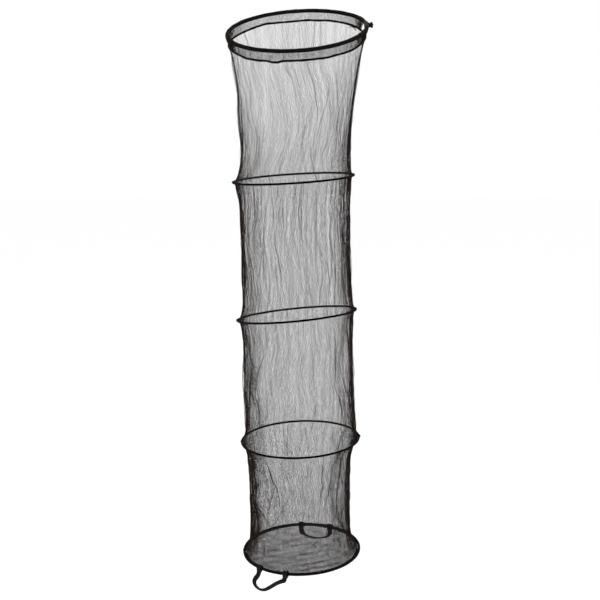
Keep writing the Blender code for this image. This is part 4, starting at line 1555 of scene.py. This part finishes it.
@dataclass
class FloorNet:
    """The flat mesh floor in the base ring and its taped rim.

    Attributes:
        ring: The base ring's plane.
        radius: Where the floor meets the ring's tape.
        twine: The twine's width.
        rim: The rim tape's width.
        rim_thick: Its thickness.
        below: How far the floor lies below the ring's plane at its edge.
        cell: A mesh's size.
        angle: How far the mesh is turned from 45 degrees.
        uneven: How far its knots are pulled off their places.
        drawn: How far stretches of it are.
        free: How far from its edge it wrinkles in full.
        wrinkle: The height of its wrinkles.
        sag: How far its middle sags.
        gaps: Tests for the places cut out for the webbing.
    """

    ring: RingPlane
    radius: float
    twine: float = 0.00082
    rim: float = 0.005
    rim_thick: float = 0.0022
    below: float = 0.0011
    cell: float = 0.0034
    angle: float = 12.0
    uneven: float = 0.0007
    drawn: float = 0.0016
    free: float = 0.03
    wrinkle: float = 0.0009
    sag: float = 0.007
    gaps: list[Gap] = field(default_factory=list)

    @staticmethod
    def level(flat: Points) -> Points:
        """Places across the floor as points at height 0."""
        return np.concatenate([flat, np.zeros_like(flat[..., :1])], -1)

    def laid(self, flat: Points) -> Points:
        """Lays points of the floor in the base ring, with its slight sag and wrinkles.

        Args:
            flat: Places across the floor, right and back.

        Returns:
            The points in space.
        """
        far = np.linalg.norm(flat, axis=-1)
        free = np.clip((self.radius - far) / self.free, 0.0, 1.0)
        sagging = -self.sag * (1.0 - (far / self.radius) ** 2)
        laid = self.level(flat)
        wrinkles = ripples(np.random.default_rng(19), laid, 0.03, 0.16, 0.45)
        laid[..., 2] = sagging + self.wrinkle * free * wrinkles - self.below
        return np.array(self.ring.centre) + laid @ self.ring.turn().T

    def build(self) -> None:
        """Makes the floor's netting and rim."""
        reach = self.radius - self.rim / 2
        half = math.ceil(reach / self.cell) + 1
        steps = np.arange(-half, half + 1) * self.cell
        sets = []
        draw = np.random.default_rng(23)
        up = np.broadcast_to(self.ring.turn()[:, 2], (len(steps), len(steps), 3))
        for side, lift in zip((1.0, -1.0), LAYER_LIFTS):
            chain, along = np.meshgrid(steps, steps, indexing="ij")
            turned = math.radians(45.0 * side + self.angle)
            right = np.array([math.cos(turned), math.sin(turned)])
            back = np.array([-math.sin(turned), math.cos(turned)])
            limit = np.sqrt(np.maximum(reach**2 - chain**2, 0.0))
            inside = np.abs(along) < limit
            # Each strand's last nodes, just outside, are drawn in to the edge.
            used = inside.copy()
            used[:, 1:] |= inside[:, :-1]
            used[:, :-1] |= inside[:, 1:]
            along = np.where(used, np.clip(along, -limit, limit), along)
            flat = along[..., None] * right + chain[..., None] * back
            off = np.clip(draw.normal(size=flat.shape), -KNOT_LIMIT, KNOT_LIMIT) * self.uneven
            level = self.level(flat)
            drawn = [ripples(np.random.default_rng(seed), level, 0.03, 0.09, 0.0) for seed in (31, 32)]
            off = off + self.drawn * np.stack(drawn, -1)
            flat = flat + off * (inside & (np.linalg.norm(flat, axis=-1) < reach - self.cell))[..., None]
            kept = used[:, 1:] & used[:, :-1] & (inside[:, 1:] | inside[:, :-1])
            places = self.laid(flat)
            middle = (places[:, 1:] + places[:, :-1]) / 2
            for gap in self.gaps:
                kept &= ~gap(middle)
            sets.append(strands(places, up, kept, self.twine, lift * self.twine))
        floor, area = net_object("base_floor_mesh", sets)
        dress(floor, TWINE)
        hand_over(floor, "base", "base_net")
        self.build_rim()

    def build_rim(self) -> None:
        """Makes the tape round the floor's edge, in lengths between the webbing's tabs."""
        steps = 720
        degrees = spread_round(steps)
        places = self.ring.place(degrees, self.radius - self.rim / 2, -self.below)
        free = np.ones(steps, bool)
        for gap in self.gaps:
            free &= ~gap(places)
        # The way round starts and ends in a tab's gap, so that each length is one run.
        first = int(np.flatnonzero(~free)[0])
        order = (np.arange(steps + 1) + first) % steps
        parts, run = [], []
        section = polygon(self.rim, self.rim_thick, 12, 0.7)
        up = self.ring.turn()[:, 2]
        for i in order:
            if free[i]:
                run.append(i)
                continue
            if len(run) > 2:
                out = self.ring.out(degrees[run])
                ups = np.broadcast_to(up, out.shape)
                parts.append(skin("rim", swept(places[run], out, ups, section), False))
            run = []
        for part in parts:
            dress(part, TAPE)
        hand_over(joined_pieces("base_floor_rim", parts), "base", "base_net")


@dataclass
class WebbingHandle:
    """A webbing loop round the base ring: two sewn tabs and the strap that hangs between them.

    Attributes:
        name: The handle's name, which is also its body's.
        ring: The base ring's plane.
        hoop: The base hoop's centre line.
        tape: The base ring's outside diameter.
        ends: The angles of the two tabs.
        drop: How far the strap hangs.
        leans: How far each tab leans along the chord, as a share of how far it reaches below the ring.
        strap: The strap's route: share of the half chord, share of the drop, and share of a quarter turn.
        width: The webbing's width.
        thick: Its thickness.
        play: The room between it and the base ring.
        tab: How far each tab reaches below the ring's centre line.
        tab_gap: The room between a tab's two layers.
        tab_flat: The length at a tab's end where they lie flat together.
        strap_below: How far below a tab's end the strap starts at least.
        ring_sides: The sides of the ring in the CAD, which the tabs stand on.
        slot_room: The room at each side of the webbing in its slots.
        tack_rows: How far above a tab's end its two rows of tacks lie.
        tack_length: The tacks' length.
        tacks: The number of tacks in a row.
    """

    name: str
    ring: RingPlane
    hoop: float
    tape: float
    ends: tuple[float, float]
    drop: float
    leans: tuple[float, float]
    strap: Sequence[tuple[float, float, float]]
    width: float = 0.016
    thick: float = 0.0016
    play: float = 0.0036
    tab: float = 0.018
    tab_gap: float = 0.0006
    tab_flat: float = 0.003
    strap_below: float = 0.002
    ring_sides: int = 36
    slot_room: float = 0.0015
    tack_rows: tuple[float, float] = (0.0035, 0.0085)
    tack_length: float = 0.0030
    tacks: int = 22

    def __post_init__(self) -> None:
        """Works out the chord between the tabs and the ways along, out and up."""
        half = math.pi / self.ring_sides
        places = []
        for degrees in self.ends:
            # The CAD's ring has straight sides, which lie nearer to its axis at their middles.
            off_middle = math.radians(degrees) % (2 * half) - half
            radius = self.hoop * math.cos(half) / math.cos(off_middle)
            places.append(self.ring.place(np.array(degrees), radius))
        self.middle = (places[0] + places[1]) / 2
        self.half = float(np.linalg.norm(places[1] - places[0])) / 2
        self.along = unit(places[1] - places[0])
        level = np.array([0.0, 0.0, 1.0])
        self.up = unit(level - level @ self.along * self.along)
        self.out = np.cross(self.along, self.up)
        self.loop = self.tape / 2 + self.play + self.thick / 2

    def passes(self, margin: float) -> Gap:
        """Gives a test for places that the tabs pass through.

        Args:
            margin: The room left round the webbing.

        Returns:
            A function from points to whether they lie in a tab's slot.
        """

        def inside(places: Points) -> Points:
            """Whether these places lie in a tab's slot."""
            offset = places - self.middle
            along, out, up = (offset @ way for way in (self.along, self.out, self.up))
            wide = self.width / 2 + self.slot_room
            beside = np.minimum(np.abs(along - self.half), np.abs(along + self.half)) < wide
            return beside & (np.hypot(out, up) < self.loop + self.thick / 2 + margin)

        return inside

    def tab_place(self, side: float, lean: float, down: float) -> float:
        """How far along the chord a tab's middle line is, at some depth below the ring's centre line."""
        return side * self.half + lean * max(down - self.tape / 2, 0.0)

    def route(self) -> Points:
        """The webbing's middle line.

        Returns:
            Rows of along, out, down and twist.
        """
        inner = (self.tab_gap + self.thick) / 2
        # A tab as out and down: up its inner layer, round the ring and down its outer layer.
        turn = np.radians(np.linspace(205.0, -25.0, 22))
        pinch = (0.55 * self.loop, 1.05 * self.loop)
        parting = self.tab - self.tab_flat
        spots = [(-inner, self.tab), (-inner, parting), (-pinch[0], pinch[1])]
        spots += [(self.loop * math.cos(t), -self.loop * math.sin(t)) for t in turn]
        spots += [pinch, (inner, parting), (inner, self.tab)]
        first_tab, last_tab = (
            np.array([(self.tab_place(side, lean, down), out, down, 0.0) for out, down in spots])
            for side, lean in zip((-1.0, 1.0), self.leans)
        )
        least = self.tab + self.strap_below
        keys = np.array([(a * self.half, inner, max(d * self.drop, least), t) for a, d, t in self.strap])
        padded = np.concatenate([[2 * keys[0] - keys[1]], keys, [2 * keys[-1] - keys[-2]]])
        strap = []
        for before, first, second, after in zip(padded, padded[1:], padded[2:], padded[3:]):
            for t in np.arange(8) / 8:
                leaving, meeting = t * (t - 1) ** 2, t * t * (t - 1)
                point = first + smooth(t) * (second - first)
                strap.append(point + (second - before) / 2 * leaving + (after - first) / 2 * meeting)
        strap.append(keys[-1])
        return np.concatenate([first_tab, strap, last_tab[::-1]])

    def build(self) -> None:
        """Makes the webbing and the bar tacks that close its tabs."""
        route = self.route()
        points = (
            self.middle
            + route[:, 0:1] * self.along
            + route[:, 1:2] * self.out
            - route[:, 2:3] * self.up
        )
        ahead = unit(np.gradient(points, axis=0))
        twist = route[:, 3] * math.pi / 2
        wide = np.zeros_like(points)
        before = self.along
        for i, way in enumerate(ahead):
            if twist[i] == 0.0:
                wide[i] = self.along if before @ self.along > 0.0 else -self.along
            else:
                flat = unit(self.out - self.out @ way * way)
                wide[i] = math.cos(twist[i]) * np.cross(flat, way) + math.sin(twist[i]) * flat
            wide[i] = unit(wide[i] - wide[i] @ way * way)
            before = wide[i]
        up = np.cross(ahead, wide)
        section = polygon(self.width, self.thick, 16, 0.45)
        strap = skin("strap", swept(points, wide, up, section), False)
        dress(strap, WEBBING)
        parts = [strap]
        # The tacks stand just clear of the webbing's two faces.
        face_out = self.tab_gap / 2 + self.thick + PLAY / 2
        across = np.linspace(-0.40, 0.40, self.tacks)[:, None] * self.width
        ways = self.up + 0.35 * zigzag(self.tacks) * self.along
        for side, lean in zip((-1.0, 1.0), self.leans):
            wide_way = unit(self.along + lean * self.up)
            for face in (1.0, -1.0):
                for row in self.tack_rows:
                    down = self.tab - row
                    base = self.middle + self.tab_place(side, lean, down) * self.along
                    base = base + face * face_out * self.out - down * self.up
                    middles = base + across * wide_way
                    ups = np.broadcast_to(face * self.out, middles.shape)
                    parts.append(stitches("tack", middles, ways, ups, self.tack_length, FINE_THREAD))
        piece = joined_pieces(f"{self.name}_webbing", parts)
        hand_over(piece, self.name, self.name)


# The straps' routes, read from the photo: shares of the half chord, of the drop and of a quarter turn.
FRONT_STRAP = (
    (-1.09, 0.30, 0.0),
    (-1.20, 0.43, 0.0),
    (-1.36, 0.58, 0.0),
    (-1.43, 0.75, 0.04),
    (-1.30, 0.92, 0.16),
    (-0.97, 1.03, 0.34),
    (-0.58, 0.98, 0.42),
    (-0.14, 0.78, 0.42),
    (0.26, 0.57, 0.38),
    (0.60, 0.43, 0.28),
    (0.82, 0.35, 0.1),
    (0.90, 0.30, 0.0),
)
REAR_STRAP = (
    (-1.0, 0.48, 0.0),
    (-0.94, 0.64, 0.4),
    (-0.72, 0.84, 0.9),
    (-0.30, 0.985, 1.0),
    (0.18, 1.0, 1.0),
    (0.58, 0.90, 1.0),
    (0.86, 0.72, 0.8),
    (0.97, 0.58, 0.35),
    (1.0, 0.48, 0.0),
)
# Where each ring's tape is doubled: the angle and how much thicker it is there.
OVERLAPS = {
    "ring_2": ((180.0, 0.15), (1.0, 0.2)),
    "ring_3": ((180.0, 0.55),),
    "ring_4": ((180.0, 0.35), (1.0, 0.85)),
    "base": ((178.0, 0.15),),
}
# The longest creases, by section: the angle and the share of the height where each starts and ends. The
# lowest section's run to one gathered point at its front left.
SEEN_CREASES = {
    1: (
        ((188.0, -0.3), (192.0, 0.55)),
        ((193.0, -0.3), (197.0, 0.75)),
        ((199.0, -0.3), (201.0, 0.45)),
        ((331.0, -0.3), (334.0, 0.5)),
        ((336.0, -0.3), (338.0, 0.8)),
    ),
    3: (
        ((238.0, 0.20), (225.0, 0.56)),
        ((225.0, 0.46), (230.0, 0.90)),
        ((306.0, 0.44), (323.0, 0.82)),
        ((310.0, 0.05), (313.0, 0.48)),
        ((320.0, 0.38), (338.0, 0.74)),
    ),
    4: (
        ((225.0, 0.0), (251.0, 0.46)),
        ((251.0, 0.40), (231.0, 0.64)),
        ((210.0, 0.40), (241.0, 0.62)),
        ((290.0, -0.05), (289.0, 0.44)),
        ((302.0, 0.18), (301.0, 0.38)),
        ((319.0, -0.1), (314.0, 0.55)),
        ((332.0, -0.1), (342.0, 0.34)),
        ((196.0, -0.2), (207.0, 0.46)),
        ((201.0, -0.1), (211.0, 0.50)),
    ),
}


@dataclass
class Studio:
    """The camera at the photograph's angle, soft lamps, a pale floor and a white background.

    Attributes:
        eye: Where the camera stands.
        pitch: How far it looks down, in degrees.
        heading: How far it is turned, in degrees.
        focal_pixels: Its focal length in the picture's pixels.
        picture: The picture's width in pixels.
        sensor: The sensor's width in millimetres.
        sight: How far it sees.
        floor_height: The height of the studio's floor.
        floor_radius: Its radius.
        aim: What the lamps point at.
        grey: The world's strength where it lights, against 1 where it is seen.
        glow: The floor's own glow where it is seen.
    """

    eye: tuple[float, float, float] = (-0.2578, -4.5475, -0.0179)
    pitch: float = 10.869
    heading: float = -0.318
    focal_pixels: float = 1403.3
    picture: float = 600.0
    sensor: float = 36.0
    sight: float = 60.0
    floor_height: float = -2.15
    floor_radius: float = 14.0
    aim: tuple[float, float, float] = (-0.24, 0.0, -0.85)
    grey: float = 0.5
    glow: float = 0.86

    def build_camera(self) -> None:
        """Makes the camera."""
        data = bpy.data.cameras.new("camera")
        data.sensor_width = self.sensor
        data.lens = self.focal_pixels / self.picture * self.sensor
        data.clip_end = self.sight
        camera = bpy.data.objects.new("camera", data)
        camera.location = self.eye
        camera.rotation_euler = (math.radians(90.0 - self.pitch), 0.0, math.radians(self.heading))
        bpy.context.scene.collection.objects.link(camera)
        bpy.context.scene.camera = camera

    def build_lamps(self) -> None:
        """Makes three soft area lamps: a key from the front left, a fill from the right and one above."""
        lamps = (
            ("key", (-2.6, -3.2, 1.6), 2.2, 55.0),
            ("fill", (2.8, -2.6, 0.4), 2.6, 25.0),
            ("above", (-0.2, 0.9, 2.6), 2.4, 40.0),
        )
        for name, place, size, power in lamps:
            data = bpy.data.lights.new(name, "AREA")
            data.size = size
            data.energy = power
            lamp = bpy.data.objects.new(name, data)
            lamp.location = place
            way = np.array(self.aim) - np.array(place)
            level = math.hypot(way[0], way[1])
            lamp.rotation_euler = (math.atan2(level, -way[2]), 0.0, math.atan2(-way[0], way[1]))
            bpy.context.scene.collection.objects.link(lamp)

    @staticmethod
    def by_ray(tree: bpy.types.NodeTree, unseen: float, seen: float) -> bpy.types.NodeSocket:
        """Adds a value that differs between rays that show a thing and those by which it lights.

        Args:
            tree: The tree it goes into.
            unseen: The value for rays that light.
            seen: The value for rays from the camera, also by way of a mirror or glass.

        Returns:
            The socket that gives it.
        """
        rays = add_node(tree, "ShaderNodeLightPath")
        shown = rays.outputs["Is Camera Ray"]
        for output in ("Is Glossy Ray", "Is Transmission Ray"):
            links = {0: shown, 1: rays.outputs[output]}
            shown = add_node(tree, "ShaderNodeMath", links=links, operation="MAXIMUM").outputs[0]
        value = add_node(tree, "ShaderNodeMapRange", {"To Min": unseen, "To Max": seen}, {"Value": shown})
        return value.outputs["Result"]

    def build_surroundings(self) -> None:
        """Makes the world, white where it is seen and grey where it lights, and the pale floor."""
        world = bpy.data.worlds.new("studio")
        bpy.context.scene.world = world
        world.use_nodes = True
        tree = world.node_tree
        tree.nodes.clear()
        white = {"Color": linear("#ffffff")}
        back = add_node(tree, "ShaderNodeBackground", white, {"Strength": self.by_ray(tree, self.grey, 1.0)})
        add_node(tree, "ShaderNodeOutputWorld", links={"Surface": back.outputs["Background"]})

        bpy.ops.object.select_all(action="DESELECT")
        bpy.ops.mesh.primitive_circle_add(vertices=96, radius=self.floor_radius, fill_type="NGON")
        floor = bpy.context.object
        floor.name = "studio_floor"
        floor.location = (0.0, 0.0, self.floor_height)
        material = bpy.data.materials.new("pale_paper_floor")
        material.use_nodes = True
        tree = material.node_tree
        tree.nodes.clear()
        matt = add_node(tree, "ShaderNodeBsdfDiffuse", {"Color": linear("#8c8c8c")})
        glow = add_node(tree, "ShaderNodeEmission", white, {"Strength": self.by_ray(tree, 0.0, self.glow)})
        links = {0: matt.outputs["BSDF"], 1: glow.outputs["Emission"]}
        both = add_node(tree, "ShaderNodeAddShader", links=links)
        add_node(tree, "ShaderNodeOutputMaterial", links={"Surface": both.outputs["Shader"]})
        floor.data.materials.append(material)
        bpy.context.scene.view_settings.view_transform = "Standard"


@dataclass
class KeepNet:
    """The whole net: its planes, and the pieces in order from the top.

    Attributes:
        hoop: The centre line of the hoops.
        hoop_tape: Their tape's outside diameter.
        base_hoop: The centre line of the base hoop.
        base_tape: Its tape's outside diameter.
        edge_room: How far the netting keeps to one ring at each end.
        tube_slots: The room round the webbing where it passes through the tube.
        floor_slots: The room round it in the floor.
    """

    hoop: float = 0.1965
    hoop_tape: float = 0.007
    base_hoop: float = 0.195
    base_tape: float = 0.010
    edge_room: float = 0.006
    tube_slots: float = 0.0015
    floor_slots: float = 0.005

    def __post_init__(self) -> None:
        """Places the rings where the CAD's hoops are."""
        self.head = HeadRing((-0.242188, 0.0, -0.016511), 16.1, 3.9)
        slopes = {"ring_2": (-1.6, 3.6), "ring_3": (-5.2, 5.6), "ring_4": (1.8, 2.5), "base": (4.7, 1.9)}
        self.rings = {
            name: RingPlane(self.middle_of(f"{name}_hoop"), *slope) for name, slope in slopes.items()
        }

    @staticmethod
    def middle_of(node: str) -> tuple[float, float, float]:
        """The middle of a CAD node's box."""
        low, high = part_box(node)
        x, y, z = (low + high) / 2
        return x, y, z

    def sizes(self, name: str) -> tuple[float, float]:
        """A ring's centre line and its tape's outside diameter."""
        return (self.base_hoop, self.base_tape) if name == "base" else (self.hoop, self.hoop_tape)

    def edge_at(self, name: str, height: float) -> Edge:
        """The netting's edge where it passes inside a ring's tape.

        Args:
            name: The ring.
            height: How far above its plane.

        Returns:
            The edge by angle.
        """
        radius, tape = self.sizes(name)
        ring = self.rings[name]
        return lambda degrees: ring.place(degrees, radius - tape / 2 - CLEARANCE, height)

    def build_handles(self) -> list[WebbingHandle]:
        """Makes both webbing handles.

        Returns:
            The front one and the rear one.
        """
        base = (self.rings["base"], self.base_hoop, self.base_tape)
        front = WebbingHandle(
            "front_handle", *base, ends=(224.0, 254.0), drop=0.074, leans=(-0.35, -0.4), strap=FRONT_STRAP
        )
        rear = WebbingHandle(
            "rear_handle", *base, ends=(59.0, 90.0), drop=0.046, leans=(0.0, 0.0), strap=REAR_STRAP
        )
        front.build()
        rear.build()
        return [front, rear]

    def build_tube(self, handles: list[WebbingHandle]) -> None:
        """Makes the four lengths of netting and their seams.

        Args:
            handles: The handles whose tabs pass through the lowest length.
        """
        below = self.head.cord + 2 * CLEARANCE
        order = tuple(self.rings)
        above = ("head", *order[:-1])
        tops = [lambda degrees: self.head.sewn(degrees, MESH_WALL / 2, below)]
        tops += [self.edge_at(name, -CLEARANCE / 2) for name in order[:-1]]
        bottoms = [self.edge_at(name, CLEARANCE / 2) for name in order]
        degrees = spread_round(72)
        for i, (cut, bodies, top, bottom) in enumerate(zip(CUTS, zip(above, order), tops, bottoms)):
            pleats = scattered_pleats(np.random.default_rng(100 + i), cut.width, cut.creasing)
            pleats += [crease(cut.width, *ends) for ends in SEEN_CREASES.get(i + 1, ())]
            section = NetSection(
                number=i + 1,
                bodies=bodies,
                top=top,
                bottom=bottom,
                start=1.7 * i,
                leaves=float(top(degrees)[..., 2].min()) - self.edge_room,
                joins=float(bottom(degrees)[..., 2].max()) + self.edge_room,
                cut=cut,
                pleats=pleats,
                gaps=[handle.passes(self.tube_slots) for handle in handles] if "base" in bodies else [],
            )
            section.build_panels()
            section.build_seam()

    def dress_cad(self) -> None:
        """Gives the CAD nodes that stay in sight their real finishes."""
        kept = {"head_boss": NYLON, "ring_pin_front": STEEL, "ring_pin_rear": STEEL}
        kept |= {f"{name}_hoop": WIRE for name in self.rings}
        for node, finish in kept.items():
            dress(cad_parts[node], finish)

    def build(self) -> None:
        """Makes every piece, from the top down."""
        self.dress_cad()
        fitting = StudFitting(self.head)
        fitting.build_stud()
        fitting.build_nut()
        rim = HeadRim(self.head)
        rim.build_rod()
        rim.build_casing()
        rim.build_hem()
        rim.build_cord()
        rim.build_knot()
        for name, ring in self.rings.items():
            TapedHoop(name, ring, *self.sizes(name), overlaps=OVERLAPS[name]).build()
        handles = self.build_handles()
        self.build_tube(handles)
        reach = self.base_hoop - self.base_tape / 2 - CLEARANCE
        gaps = [handle.passes(self.floor_slots) for handle in handles]
        FloorNet(self.rings["base"], reach, gaps=gaps).build()


def main() -> None:
    """Builds the studio and the net."""
    logging.basicConfig(level=logging.INFO, format="%(message)s")
    studio = Studio()
    studio.build_camera()
    studio.build_lamps()
    studio.build_surroundings()
    KeepNet().build()


if __name__ == "__main__":
    main()
